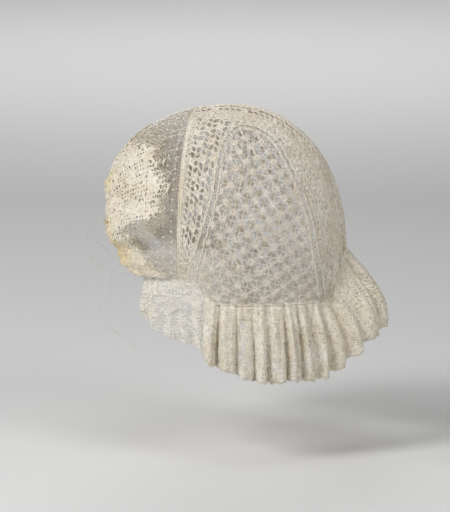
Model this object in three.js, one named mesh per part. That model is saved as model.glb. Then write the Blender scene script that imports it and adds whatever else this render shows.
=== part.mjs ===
// A woman's lace cap, as it sits on a head: a crown of star lace and eyelet lace with ladder insertions,
// a spotted net front with gathered face lace, and a gathered lace ruffle round the neck.
// Millimetres, +Z up. The wearer looks towards -Y, and the wearer's left is +X.
// The origin is where the top of the head meets the inside of the crown.

import * as THREE from 'three';

// The form that the cap keeps on a head.
const HALF_WIDTH = 78;
const EAR_DROP = 125;
const BACK_DEPTH = 100;
const FRONT_DEPTH = 118;
const EAR_SET_BACK = 3;
const ROUNDNESS = 2.15;
const SKIRT_TAPER = 160;

// The crown.
const CROWN_WALL = 1.5;
const SEAM_SET_FORWARD = 28;
const STRIP_HALF_WIDTH = 24;
const LADDER_WIDTH = 8;
const NECK_DROP = 36;
const NAPE_RISE = 41;
const NAPE_RISE_HALF_WIDTH = 36;
const FRONT_CORNER_RISE = 20;
const FRONT_CORNER_LENGTH = 34;
const FRONT_CORNER_SET_BACK = 7;

// The front band, its lace and the cheek lace.
const BAND_WALL = 1;
const BAND_DROP = 15.5;
const PUFF_HEIGHT = 5;
const NET_TUCK = 1.5;
const LACE_WALL = 1.2;
const LACE_LIFT = 0.6;
const LACE_WAVE = 1.6;
const LACE_WAVES = 17;
const CHEEK_END = 7;
const CHEEK_SLACK = 2.2;

// The neck ruffle and the lining.
const RUFFLE_WALL = 1.2;
const RUFFLE_DEPTH = 63;
const RUFFLE_FLARE = 13;
const NAPE_FLARE = 34;
const PLEAT_DEPTH = 5.2;
const RUFFLE_GAP = 0.9;
const LINING_WALL = 1;
const LINING_HEIGHT = 26;

// The gap between pieces that are sewn edge to edge, the gap between layers, and the front seam's thickness.
const SEAM_GAP = 0.6;
const LAYER_GAP = 0.45;
const SEAM_RADIUS = 1.1;

// The ladder's course round a side panel, from the front corner over the top to the nape corner.
// back is a share of BACK_DEPTH behind the form's middle, rise the share of the way from the crown's lower
// edge up to the top of the head, and wide a share of LADDER_WIDTH.
const LADDER_COURSE = [
  { back: -0.19, rise: 0, wide: 1.06 },
  { back: -0.175, rise: 0.075, wide: 1 },
  { back: -0.067, rise: 0.383, wide: 0.8 },
  { back: 0.002, rise: 0.585, wide: 0.72 },
  { back: 0.03, rise: 0.797, wide: 0.68 },
  { back: 0.08, rise: 0.888, wide: 0.66 },
  { back: 0.17, rise: 0.925, wide: 0.66 },
  { back: 0.34, rise: 0.899, wide: 0.68 },
  { back: 0.498, rise: 0.82, wide: 0.7 },
  { back: 0.675, rise: 0.627, wide: 0.74 },
  { back: 0.778, rise: 0.441, wide: 0.8 },
  { back: 0.82, rise: 0.298, wide: 0.9 },
  { back: 0.855, rise: 0.143, wide: 1 },
  { back: 0.87, rise: 0, wide: 1.06 },
];

// The face edge: turn is the share of the way from the cheek (0) up to the middle of the forehead (1),
// edge is how far forward the edge lies and lace how far the face lace runs back, as shares of FRONT_DEPTH.
const FACE_EDGE = [
  { turn: 0, edge: 0.53, lace: 0.26 },
  { turn: 0.02, edge: 0.61, lace: 0.26 },
  { turn: 0.05, edge: 0.69, lace: 0.26 },
  { turn: 0.1, edge: 0.76, lace: 0.25 },
  { turn: 0.17, edge: 0.79, lace: 0.4 },
  { turn: 0.25, edge: 0.835, lace: 0.52 },
  { turn: 0.4, edge: 0.87, lace: 0.55 },
  { turn: 0.7, edge: 0.895, lace: 0.45 },
  { turn: 0.88, edge: 0.895, lace: 0.33 },
  { turn: 1, edge: 0.895, lace: 0.3 },
];

// Soft folds that run across the front band: turn as above, rise out of the form as a share of PUFF_HEIGHT,
// and width the fold's half width as a share of the turn.
const BAND_FOLDS = [
  { turn: 0.045, rise: 0.5, width: 0.035 },
  { turn: 0.115, rise: -1, width: 0.03 },
  { turn: 0.21, rise: 0.9, width: 0.08 },
  { turn: 0.4, rise: -0.3, width: 0.06 },
  { turn: 0.56, rise: 0.4, width: 0.06 },
  { turn: 0.78, rise: -0.24, width: 0.05 },
  { turn: 0.92, rise: 0.3, width: 0.05 },
];

// The cheek lace's lower edge, from the face to the ruffle: forward is a share of FRONT_DEPTH ahead of the
// form's middle, drop a share of RUFFLE_DEPTH below the crown's lower edge at the ear.
const CHEEK_HEM = [
  { along: 0, forward: 0.57, drop: 0.13 },
  { along: 0.2, forward: 0.47, drop: 0.34 },
  { along: 0.4, forward: 0.37, drop: 0.48 },
  { along: 0.65, forward: 0.22, drop: 0.57 },
  { along: 0.85, forward: 0.1, drop: 0.63 },
  { along: 1, forward: 0.03, drop: 0.72 },
];

// The ruffle's pleats on one side, from its front end (0) to the middle of the nape (1): at is where the
// crest lies, deep the pleat's depth and long its length, as shares of PLEAT_DEPTH and RUFFLE_DEPTH.
const PLEATS = [
  { at: 0.03, deep: 0.7, long: 0.8 },
  { at: 0.11, deep: 1.1, long: 0.86 },
  { at: 0.2, deep: 1.3, long: 0.96 },
  { at: 0.28, deep: 0.8, long: 1.02 },
  { at: 0.37, deep: 0.9, long: 1.04 },
  { at: 0.45, deep: 1, long: 1.02 },
  { at: 0.53, deep: 0.9, long: 1.03 },
  { at: 0.62, deep: 1, long: 1.02 },
  { at: 0.7, deep: 1.1, long: 0.92 },
  { at: 0.79, deep: 1, long: 0.84 },
  { at: 0.88, deep: 1.3, long: 0.92 },
  { at: 0.97, deep: 1, long: 1 },
];

const EARS = new THREE.Vector3(0, EAR_SET_BACK, CROWN_WALL - EAR_DROP);
const SEAM_Y = -SEAM_SET_FORWARD;
const FULL_TURN = 2 * Math.PI;

// A column of a table at a place between its rows, on a smooth curve through them.
function fromTable(rows, key, column, at) {
  const last = rows.length - 1;
  const value = Math.min(Math.max(at, rows[0][key]), rows[last][key]);
  let row = 0;
  while (row < last - 1 && value > rows[row + 1][key]) row += 1;
  const span = rows[row + 1][key] - rows[row][key];
  const slope = (i) => {
    const before = rows[Math.max(i - 1, 0)];
    const after = rows[Math.min(i + 1, last)];
    return (after[column] - before[column]) / (after[key] - before[key]);
  };
  const t = (value - rows[row][key]) / span;
  const rise = rows[row + 1][column] - rows[row][column];
  return rows[row][column] + rise * t * t * (3 - 2 * t)
    + span * t * (1 - t) * (slope(row) * (1 - t) - slope(row + 1) * t);
}

// How far a coordinate lies towards the form's side, as a share of that side's reach, to the form's power.
const share = (distance, reach) => (Math.abs(distance) / reach) ** ROUNDNESS;
const depthReach = (y) => (y > EARS.y ? BACK_DEPTH : FRONT_DEPTH);
const heightReach = (z) => (z > EARS.z ? EAR_DROP : SKIRT_TAPER);

// The form's point straight out to one side of a place that is given by its depth and height.
function fromSide(side, y, z) {
  const left = 1 - share(y - EARS.y, depthReach(y)) - share(z - EARS.z, heightReach(z));
  return new THREE.Vector3(side * HALF_WIDTH * Math.max(left, 0) ** (1 / ROUNDNESS), y, z);
}

// The point of the form in the direction of any other point, seen from between the ears.
function ontoForm(point) {
  const d = point.clone().sub(EARS);
  const reach = share(d.x, HALF_WIDTH) + share(d.y, depthReach(point.y)) + share(d.z, heightReach(point.z));
  return d.multiplyScalar(reach ** (-1 / ROUNDNESS)).add(EARS);
}

// The form's outward normal.
function normalAt(point) {
  const slope = (distance, reach) =>
    (Math.sign(distance) * (Math.abs(distance) / reach) ** (ROUNDNESS - 1)) / reach;
  return new THREE.Vector3(
    slope(point.x, HALF_WIDTH),
    slope(point.y - EARS.y, depthReach(point.y)),
    slope(point.z - EARS.z, heightReach(point.z)),
  ).normalize();
}

// A point of the form, with its normal, pushed out by a distance.
function proudOf(point, distance) {
  const normal = normalAt(point);
  return { point: point.clone().addScaledVector(normal, distance), normal };
}

// The height of the crown's lower edge. It rises at the middle of the nape and at the front corners.
function neckHeight(x, y) {
  const nape = y > EARS.y ? Math.max(0, 1 - Math.abs(x) / NAPE_RISE_HALF_WIDTH) : 0;
  const corner = (EARS.y + FRONT_CORNER_SET_BACK - y) / FRONT_CORNER_LENGTH;
  const corners = Math.min(Math.max(corner, 0), 1);
  return EARS.z - NECK_DROP
    + NAPE_RISE * (0.5 - 0.5 * Math.cos(Math.PI * nape))
    + FRONT_CORNER_RISE * corners * corners * (3 - 2 * corners);
}

// A closed body for a piece of cloth or lace. place(u, v) gives the outer face's point and normal,
// and open(column, row) the share of a cell that is cut through, or 0 where the cell is whole.
function clothWall({ columns, rows, wall, place, open = () => 0 }) {
  const outer = [];
  const inner = [];
  const faces = [];
  const byPlace = new Map();
  const vertex = (u, v) => {
    const key = `${u.toFixed(6)},${v.toFixed(6)}`;
    if (!byPlace.has(key)) {
      const { point, normal } = place(u, v);
      byPlace.set(key, outer.length);
      outer.push(point);
      inner.push(point.clone().addScaledVector(normal, -wall));
    }
    return byPlace.get(key);
  };
  const face = (a, b, c) => faces.push([a, b, c], [-1 - c, -1 - b, -1 - a]);
  const rim = (a, b) => faces.push([b, a, -1 - a], [b, -1 - a, -1 - b]);
  const around = [[0, 0], [0.5, 0], [1, 0], [1, 0.5], [1, 1], [0.5, 1], [0, 1], [0, 0.5]];
  for (let i = 0; i < columns; i += 1) {
    for (let j = 0; j < rows; j += 1) {
      const at = (du, dv) => vertex((i + du) / columns, (j + dv) / rows);
      const ring = around.map(([du, dv]) => at(du, dv));
      const cut = open(i, j);
      const corner = 0.82;
      const hole = around.map(([du, dv], k) => {
        const reach = k % 2 ? cut : cut * corner;
        return cut ? at(0.5 + (du - 0.5) * reach, 0.5 + (dv - 0.5) * reach) : at(0.5, 0.5);
      });
      ring.forEach((a, k) => {
        const b = ring[(k + 1) % ring.length];
        const [p, q] = [hole[k], hole[(k + 1) % ring.length]];
        face(a, b, q);
        if (cut) {
          face(a, q, p);
          rim(q, p);
        }
      });
      if (j === 0) [0, 1].forEach((k) => rim(ring[k], ring[k + 1]));
      if (i === columns - 1) [2, 3].forEach((k) => rim(ring[k], ring[k + 1]));
      if (j === rows - 1) [4, 5].forEach((k) => rim(ring[k], ring[k + 1]));
      if (i === 0) [6, 7].forEach((k) => rim(ring[k], ring[(k + 1) % ring.length]));
    }
  }
  return closedGeometry(outer, inner, faces);
}

// The geometry of a wall's faces, turned so that they point out of it.
function closedGeometry(outer, inner, faces) {
  const points = [...outer, ...inner];
  const index = (k) => (k < 0 ? outer.length - 1 - k : k);
  let volume = 0;
  faces.forEach((f) => {
    const [a, b, c] = f.map((k) => points[index(k)]);
    volume += a.dot(b.clone().cross(c));
  });
  const turned = volume < 0 ? faces.map(([a, b, c]) => [c, b, a]) : faces;
  const geometry = new THREE.BufferGeometry();
  geometry.setAttribute('position', new THREE.Float32BufferAttribute(points.flatMap((p) => p.toArray()), 3));
  geometry.setIndex(turned.flat().map(index));
  geometry.computeVertexNormals();
  return geometry;
}

const LACE_COLOUR = 0xe6ddc6;
const NET_COLOUR = 0xcfc8bd;
const CREAM_COLOUR = 0xe9dfc0;
const LINING_COLOUR = 0xd9d8cc;
const RUFFLE_COLOUR = 0xdcd2b8;

function piece(name, geometry, colour) {
  const material = new THREE.MeshStandardMaterial({ color: colour, roughness: 0.9, metalness: 0 });
  const mesh = new THREE.Mesh(geometry, material);
  mesh.name = name;
  return mesh;
}

// A point of the ladder's course on one side of the head, t from its front foot over the top to its nape foot.
const courseRows = LADDER_COURSE.map((row, i) => ({ ...row, t: i / (LADDER_COURSE.length - 1) }));
const halfLadder = (t) => (LADDER_WIDTH / 2) * fromTable(courseRows, 't', 'wide', t);
function ladderCourse(side, t) {
  const y = EARS.y + BACK_DEPTH * fromTable(courseRows, 't', 'back', t);
  const rise = fromTable(courseRows, 't', 'rise', t);
  return fromSide(side, y, neckHeight(HALF_WIDTH, y) * (1 - rise));
}

// A place beside the ladder's course, by a distance across it on the form. Positive is away from the side panel.
function besideLadder(side, t, across) {
  const step = 0.004;
  const here = ladderCourse(side, t);
  const along = ladderCourse(side, Math.min(t + step, 1)).sub(ladderCourse(side, Math.max(t - step, 0)));
  const outward = along.cross(normalAt(here)).normalize().multiplyScalar(-side);
  if (t === 0 || t === 1) outward.setZ(0);
  return ontoForm(here.addScaledVector(outward, across));
}

// The same place let down to the crown's lower edge at the two feet of the course.
function onNeckLine(point, t) {
  const foot = t === 0 || t === 1;
  if (!foot) return point;
  return fromSide(Math.sign(point.x), point.y, neckHeight(point.x, point.y));
}

const STAR_COLUMNS = 5;
const STAR_ROWS = 6;
const TOP_OF_COURSE = 6.2 / 13;

// A pointed-arch panel of star lace. Its two sides follow the front and back halves of the ladder.
function sidePanel(side) {
  const beside = (t) => onNeckLine(besideLadder(side, t, -halfLadder(t) - SEAM_GAP), t);
  const place = (u, v) => {
    const front = beside(TOP_OF_COURSE * v * 0.97);
    const nape = beside(1 - (1 - TOP_OF_COURSE) * v * 0.97);
    const across = ontoForm(front.lerp(nape, u));
    return proudOf(v === 0 ? onNeckLine(across, 0) : across, 0);
  };
  const open = (i, j) => {
    const height = (j + 0.5) / STAR_ROWS;
    const near = place(i / STAR_COLUMNS, height).point;
    return j > 0 && near.distanceTo(place((i + 1) / STAR_COLUMNS, height).point) > 6 ? 0.66 : 0;
  };
  return clothWall({ columns: STAR_COLUMNS, rows: STAR_ROWS, wall: CROWN_WALL, place, open });
}

const LADDER_ROWS = 14;

// The ladder insertion between a side panel and its border.
function ladder(side) {
  const place = (u, v) => proudOf(onNeckLine(besideLadder(side, v, halfLadder(v) * (2 * u - 1)), v), 0);
  return clothWall({ columns: 1, rows: LADDER_ROWS, wall: CROWN_WALL, place });
}

const BORDER_ROWS = 14;
const BORDER_CORNER = 6.5 / 14;
const SEAM_CLEAR = SEAM_RADIUS + SEAM_GAP / 2;

// The outer line of a side border: up the front seam to the centre strip, then back along the strip to the nape.
function borderOuter(side, v) {
  const y = SEAM_Y + SEAM_CLEAR;
  const x = STRIP_HALF_WIDTH + SEAM_GAP / 2;
  if (v <= BORDER_CORNER) {
    const foot = neckHeight(HALF_WIDTH, y);
    const top = heightAt(x, y);
    return fromSide(side, y, foot + (top - foot) * Math.sin((v / BORDER_CORNER) * Math.PI * 0.5));
  }
  return stripLine(side * x, (v - BORDER_CORNER) / (1 - BORDER_CORNER));
}

// The form's height above a place that is given by its width and depth.
function heightAt(x, y) {
  const left = 1 - share(x, HALF_WIDTH) - share(y - EARS.y, depthReach(y));
  return EARS.z + EAR_DROP * Math.max(left, 0) ** (1 / ROUNDNESS);
}

// A line over the crown at one distance from its middle, t from the front seam to the nape.
function stripLine(x, t) {
  const start = SEAM_Y + SEAM_CLEAR;
  const scale = (1 - share(x, HALF_WIDTH)) ** (1 / ROUNDNESS);
  const first = Math.acos((start - EARS.y) / (scale * FRONT_DEPTH));
  const neck = neckHeight(x, BACK_DEPTH);
  const below = (EARS.z - neck) / (neck < EARS.z ? SKIRT_TAPER : EAR_DROP);
  const angle = first - (first + Math.asin(Math.min(Math.max(below, -1), 1) / scale)) * t;
  const aim = new THREE.Vector3(
    x,
    EARS.y + scale * Math.cos(angle) * (angle > Math.PI / 2 ? FRONT_DEPTH : BACK_DEPTH),
    EARS.z + scale * Math.sin(angle) * (angle > 0 ? EAR_DROP : SKIRT_TAPER),
  );
  if (t === 0) return new THREE.Vector3(x, start, heightAt(x, start));
  if (t === 1) return backAt(x, neck);
  return sameWidth(aim);
}

// The form's point at the back for a width and a height.
function backAt(x, z) {
  const left = 1 - share(x, HALF_WIDTH) - share(z - EARS.z, heightReach(z));
  return new THREE.Vector3(x, EARS.y + BACK_DEPTH * Math.max(left, 0) ** (1 / ROUNDNESS), z);
}

// A point moved onto the form in its own plane across the head, so that its distance from the middle stays.
function sameWidth(point) {
  const room = 1 - share(point.x, HALF_WIDTH);
  const used = share(point.y - EARS.y, depthReach(point.y)) + share(point.z - EARS.z, heightReach(point.z));
  const scale = (room / used) ** (1 / ROUNDNESS);
  return new THREE.Vector3(
    point.x,
    EARS.y + (point.y - EARS.y) * scale,
    EARS.z + (point.z - EARS.z) * scale,
  );
}

// Eyelet lace round a ladder, out to the front seam and the centre strip.
function sideBorder(side) {
  const place = (u, v) => {
    const near = onNeckLine(besideLadder(side, v, halfLadder(v) + SEAM_GAP), v);
    const between = ontoForm(near.lerp(borderOuter(side, v), u));
    return proudOf(v === 0 || v === 1 ? onNeckLine(between, v) : between, 0);
  };
  const open = (i, j) => (j > 1 && j < BORDER_ROWS - 2 ? 0.5 : 0);
  return clothWall({ columns: 1, rows: BORDER_ROWS, wall: CROWN_WALL, place, open });
}

const STRIP_COLUMNS = 4;
const STRIP_ROWS = 8;

// The eyelet lace strip over the middle of the crown, from the front seam to the nape.
function centreStrip() {
  const half = STRIP_HALF_WIDTH - SEAM_GAP / 2;
  const place = (u, v) => proudOf(stripLine(half * (2 * u - 1), v), 0);
  const open = (i, j) => (j > 0 && j < STRIP_ROWS - 1 ? 0.46 : 0);
  return clothWall({ columns: STRIP_COLUMNS, rows: STRIP_ROWS, wall: CROWN_WALL, place, open });
}

// The place on the front of the form at one depth, turn from the cheek (0) over the forehead (1) to the other cheek (2).
function frontPoint(y, turn) {
  const scale = (1 - share(y - EARS.y, depthReach(y))) ** (1 / ROUNDNESS);
  const sink = share(BAND_DROP, scale * SKIRT_TAPER);
  const lowest = -Math.atan((sink / (1 - sink)) ** (1 / ROUNDNESS));
  const angle = lowest + (Math.PI / 2 - lowest) * Math.min(turn, 2 - turn);
  const [across, up] = [Math.cos(angle), Math.sin(angle)];
  const size = (across ** ROUNDNESS + Math.abs(up) ** ROUNDNESS) ** (-1 / ROUNDNESS);
  const side = turn < 1 ? 1 : -1;
  return new THREE.Vector3(
    side * scale * HALF_WIDTH * across * size,
    y,
    EARS.z + scale * up * size * (up > 0 ? EAR_DROP : SKIRT_TAPER),
  );
}

// More of a patch's rows go to the cheeks, where the face edge bends most.
const turnOf = (v) => {
  const half = Math.min(v, 1 - v) * 2;
  const turn = half ** 1.5;
  return v < 0.5 ? turn : 2 - turn;
};

const faceEdge = (turn) => EARS.y - FRONT_DEPTH * fromTable(FACE_EDGE, 'turn', 'edge', Math.min(turn, 2 - turn));
const laceReach = (turn) => FRONT_DEPTH * fromTable(FACE_EDGE, 'turn', 'lace', Math.min(turn, 2 - turn));

// How far the net stands off the form: its folds grow from the seam and are fullest half way to the face.
function bandRise(turn, forward) {
  const half = Math.min(turn, 2 - turn);
  const rise = BAND_FOLDS.reduce((sum, fold) => {
    const off = (half - fold.turn) / fold.width;
    return sum + fold.rise * Math.exp(-off * off);
  }, 0);
  return PUFF_HEIGHT * rise * Math.sin(Math.min(forward, 1) * Math.PI * 0.62);
}

// How far a depth lies between the front seam (0) and the face edge (1).
const forwardShare = (y, turn) => (SEAM_Y - SEAM_CLEAR - y) / (SEAM_Y - SEAM_CLEAR - faceEdge(turn));

const BAND_ROWS = 22;

// The spotted net between the crown's seam and the face edge.
function frontBand() {
  const place = (u, v) => {
    const turn = turnOf(v);
    const y = THREE.MathUtils.lerp(SEAM_Y - SEAM_CLEAR, faceEdge(turn) + NET_TUCK, u);
    return proudOf(frontPoint(y, turn), bandRise(turn, forwardShare(y, turn)));
  };
  return clothWall({ columns: 3, rows: BAND_ROWS, wall: BAND_WALL, place });
}

// The gathered lace along the face edge, which lies over the net.
function faceLace() {
  const place = (u, v) => {
    const turn = turnOf(v);
    const y = faceEdge(turn) + u * laceReach(turn);
    const wave = (1 - u) * LACE_WAVE * (1 + Math.sin(LACE_WAVES * Math.PI * v));
    const lift = LACE_LIFT + LACE_WALL + wave;
    return proudOf(frontPoint(y, turn), bandRise(turn, forwardShare(y, turn)) + lift);
  };
  return clothWall({ columns: 3, rows: BAND_ROWS, wall: LACE_WALL, place });
}

// The flat lace at a cheek, below the front band and ahead of the ruffle.
function cheekLace(side) {
  const lowerEdge = EARS.z - NECK_DROP;
  const top = (u) => {
    const front = EARS.y - FRONT_DEPTH * FACE_EDGE[0].edge;
    const y = THREE.MathUtils.lerp(front, EARS.y - CHEEK_END - 2 * SEAM_GAP, u);
    const under = Math.min(neckHeight(HALF_WIDTH, y), EARS.z - BAND_DROP);
    return new THREE.Vector3(0, y, under - SEAM_GAP);
  };
  const hem = (u) => new THREE.Vector3(
    0,
    EARS.y - FRONT_DEPTH * fromTable(CHEEK_HEM, 'along', 'forward', u),
    lowerEdge - RUFFLE_DEPTH * fromTable(CHEEK_HEM, 'along', 'drop', u),
  );
  const place = (u, v) => {
    const at = top(u).lerp(hem(u), v);
    const slack = CHEEK_SLACK * Math.sin(v * Math.PI * 0.7) * (0.4 + Math.sin(u * FULL_TURN * 1.2));
    return proudOf(fromSide(side, at.y, at.z), slack);
  };
  return clothWall({ columns: 6, rows: 2, wall: LACE_WALL, place });
}

// The crown's lower edge from the ruffle's front end on the left (0) by the nape (1) to the one on the right (2).
function neckLine(along) {
  const half = Math.min(along, 2 - along);
  const start = Math.asin(CHEEK_END / FRONT_DEPTH);
  const angle = -start + (Math.PI / 2 + start) * half;
  const side = along < 1 ? 1 : -1;
  const aim = new THREE.Vector3(
    side * HALF_WIDTH * Math.cos(angle),
    EARS.y + (angle > 0 ? BACK_DEPTH : FRONT_DEPTH) * Math.sin(angle),
    EARS.z,
  );
  const at = ontoForm(aim);
  const z = neckHeight(at.x, at.y);
  const shrink = (1 - share(z - EARS.z, heightReach(z))) ** (1 / ROUNDNESS);
  return new THREE.Vector3(at.x * shrink, EARS.y + (at.y - EARS.y) * shrink, z);
}

// The ruffle's wave across its pleats, from -1 in a fold to 1 on a crest.
function pleatWave(half) {
  const crests = [{ at: -PLEATS[0].at }, ...PLEATS, { at: 2 - PLEATS[PLEATS.length - 1].at }];
  let k = 0;
  while (k < crests.length - 2 && half > crests[k + 1].at) k += 1;
  return Math.cos((FULL_TURN * (half - crests[k].at)) / (crests[k + 1].at - crests[k].at));
}

// A point of the ruffle's outer face, down from the neck line (0) to the hem (1).
function rufflePoint(along, down) {
  const half = Math.min(along, 2 - along);
  const root = neckLine(along);
  const out = normalAt(root).setZ(0).normalize();
  const nape = Math.max(0, 1 - (1 - half) / 0.42);
  const flare = RUFFLE_FLARE + (NAPE_FLARE - RUFFLE_FLARE) * nape * nape * (3 - 2 * nape);
  const depth = RUFFLE_DEPTH * fromTable(PLEATS, 'at', 'long', half);
  const pleat = PLEAT_DEPTH * fromTable(PLEATS, 'at', 'deep', half) * pleatWave(half) * (0.22 + 0.78 * down);
  const swell = Math.sin(down * Math.PI * 0.56);
  return root.clone()
    .addScaledVector(out, flare * swell + pleat)
    .setZ(root.z - RUFFLE_GAP - depth * down);
}

const RUFFLE_COLUMNS = 48;

// The pleated lace round the neck.
function neckRuffle() {
  const step = 0.002;
  const place = (u, v) => {
    const along = 2 * u;
    const point = rufflePoint(along, v);
    const across = rufflePoint(Math.min(along + step, 2), v).sub(rufflePoint(Math.max(along - step, 0), v));
    const down = rufflePoint(along, Math.min(v + step, 1)).sub(rufflePoint(along, Math.max(v - step, 0)));
    const sheet = down.cross(across).normalize();
    const root = normalAt(neckLine(along)).setZ(0).normalize();
    const normal = root.lerp(sheet, Math.min(v * 3, 1)).normalize();
    return { point, normal };
  };
  return clothWall({ columns: RUFFLE_COLUMNS, rows: 2, wall: RUFFLE_WALL, place });
}

// The white net strip sewn inside the crown's lower edge.
function neckLining() {
  const place = (u, v) => {
    const edge = neckLine(2 * u);
    const low = edge.z + SEAM_GAP;
    const at = ontoForm(new THREE.Vector3(edge.x, edge.y, low + LINING_HEIGHT * v));
    return proudOf(at, -CROWN_WALL - LAYER_GAP);
  };
  return clothWall({ columns: 24, rows: 1, wall: LINING_WALL, place });
}

// The whipped seam between crown and band, from cheek to cheek.
function frontSeam() {
  const foot = neckHeight(HALF_WIDTH, SEAM_Y) + SEAM_RADIUS;
  const rows = 26;
  const points = Array.from({ length: rows + 1 }, (_, i) => {
    const angle = Math.PI * (i / rows);
    const low = fromSide(1, SEAM_Y, foot);
    const height = foot + (heightAt(0, SEAM_Y) - foot) * Math.sin(angle);
    const aim = new THREE.Vector3(low.x * Math.cos(angle), SEAM_Y, height);
    return proudOf(sameDepth(aim), -CROWN_WALL / 2).point.setY(SEAM_Y);
  });
  const path = new THREE.CatmullRomCurve3(points);
  const section = new THREE.Shape().absarc(0, 0, SEAM_RADIUS, 0, FULL_TURN);
  return new THREE.ExtrudeGeometry(section, {
    steps: 36, curveSegments: 3, extrudePath: path, bevelEnabled: false,
  });
}

// A point moved onto the form in its own plane from ear to ear, so that its depth stays.
function sameDepth(point) {
  const room = 1 - share(point.y - EARS.y, depthReach(point.y));
  const used = share(point.x, HALF_WIDTH) + share(point.z - EARS.z, heightReach(point.z));
  const scale = (room / used) ** (1 / ROUNDNESS);
  return new THREE.Vector3(point.x * scale, point.y, EARS.z + (point.z - EARS.z) * scale);
}

const cap = new THREE.Group();
[['left', 1], ['right', -1]].forEach(([name, side]) => {
  cap.add(piece(`side_panel_${name}`, sidePanel(side), LACE_COLOUR));
  cap.add(piece(`ladder_${name}`, ladder(side), LACE_COLOUR));
  cap.add(piece(`side_border_${name}`, sideBorder(side), LACE_COLOUR));
  cap.add(piece(`cheek_lace_${name}`, cheekLace(side), CREAM_COLOUR));
});
cap.add(piece('centre_strip', centreStrip(), LACE_COLOUR));
cap.add(piece('front_seam', frontSeam(), LACE_COLOUR));
cap.add(piece('front_band', frontBand(), NET_COLOUR));
cap.add(piece('face_lace', faceLace(), CREAM_COLOUR));
cap.add(piece('neck_lining', neckLining(), LINING_COLOUR));
cap.add(piece('neck_ruffle', neckRuffle(), RUFFLE_COLOUR));

export default cap;
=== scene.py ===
import math
import bpy
import numpy as np
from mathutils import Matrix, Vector


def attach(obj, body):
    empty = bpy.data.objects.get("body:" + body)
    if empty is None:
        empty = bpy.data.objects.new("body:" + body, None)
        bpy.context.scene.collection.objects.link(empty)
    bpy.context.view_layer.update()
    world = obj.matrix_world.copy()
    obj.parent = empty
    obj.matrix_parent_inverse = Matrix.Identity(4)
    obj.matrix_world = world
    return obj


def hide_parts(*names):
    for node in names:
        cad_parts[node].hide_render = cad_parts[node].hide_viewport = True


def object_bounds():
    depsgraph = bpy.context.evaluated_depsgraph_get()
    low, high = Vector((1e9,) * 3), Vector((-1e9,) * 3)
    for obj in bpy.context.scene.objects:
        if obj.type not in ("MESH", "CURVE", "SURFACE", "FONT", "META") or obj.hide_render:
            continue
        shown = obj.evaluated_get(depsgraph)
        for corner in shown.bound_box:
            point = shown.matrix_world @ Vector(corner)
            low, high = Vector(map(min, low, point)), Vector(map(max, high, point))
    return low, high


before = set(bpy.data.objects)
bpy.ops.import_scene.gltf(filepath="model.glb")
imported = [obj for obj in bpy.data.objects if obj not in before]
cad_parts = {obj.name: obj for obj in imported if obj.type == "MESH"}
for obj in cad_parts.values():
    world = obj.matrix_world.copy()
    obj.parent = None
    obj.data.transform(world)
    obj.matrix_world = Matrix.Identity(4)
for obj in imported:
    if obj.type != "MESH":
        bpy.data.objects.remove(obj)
cad_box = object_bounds()
MM = 0.001

# Camera. It looks at the wearer's left side, a little from behind and from above, through a long lens.
# The picture is 512 pixels high, and each pixel covers 0.87 mm of the cap.
PICTURE_HEIGHT = 512
PIXEL = 0.87 * MM
CAMERA_AZIMUTH = math.radians(102)
CAMERA_ELEVATION = math.radians(10)
CAMERA_DISTANCE = 3.0
FILM_HEIGHT = 36
picture_size = PIXEL * PICTURE_HEIGHT
picture_middle = Vector((0, -3 * MM, -131.5 * MM))
view_direction = Vector((
    math.sin(CAMERA_AZIMUTH) * math.cos(CAMERA_ELEVATION),
    -math.cos(CAMERA_AZIMUTH) * math.cos(CAMERA_ELEVATION),
    math.sin(CAMERA_ELEVATION),
))
camera_data = bpy.data.cameras.new("camera")
camera_data.sensor_fit = "VERTICAL"
camera_data.sensor_height = FILM_HEIGHT
camera_data.lens = FILM_HEIGHT * CAMERA_DISTANCE / picture_size
camera = bpy.data.objects.new("camera", camera_data)
camera.location = picture_middle + view_direction * CAMERA_DISTANCE
camera.rotation_euler = view_direction.to_track_quat("Z", "Y").to_euler()
bpy.context.scene.collection.objects.link(camera)
bpy.context.scene.camera = camera
bpy.context.scene.view_settings.view_transform = "Standard"


# Floor. Pale grey paper lies wide and flat under the cap, and fills the picture from any side.
# The cap is held up as a head holds it, so the floor is well below its hem.
def linear(hex_colour):
    """An sRGB hex colour as linear red, green, blue and alpha."""
    channels = [int(hex_colour[i:i + 2], 16) / 255 for i in (1, 3, 5)]
    return [c / 12.92 if c <= 0.04045 else ((c + 0.055) / 1.055) ** 2.4 for c in channels] + [1.0]


def add_node(material, kind, settings=(), links=()):
    """Adds a node, sets its sockets and properties, and links outputs of other nodes into its sockets."""
    node = material.node_tree.nodes.new(kind)
    for name, value in dict(settings).items():
        if isinstance(name, int) or name in node.inputs:
            node.inputs[name].default_value = value
        else:
            setattr(node, name, value)
    for name, source in dict(links).items():
        material.node_tree.links.new(source, node.inputs[name])
    return node


def new_material(name):
    """An empty material with nodes, and its output node."""
    material = bpy.data.materials.new(name)
    material.use_nodes = True
    material.node_tree.nodes.clear()
    return material, add_node(material, "ShaderNodeOutputMaterial")


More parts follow.
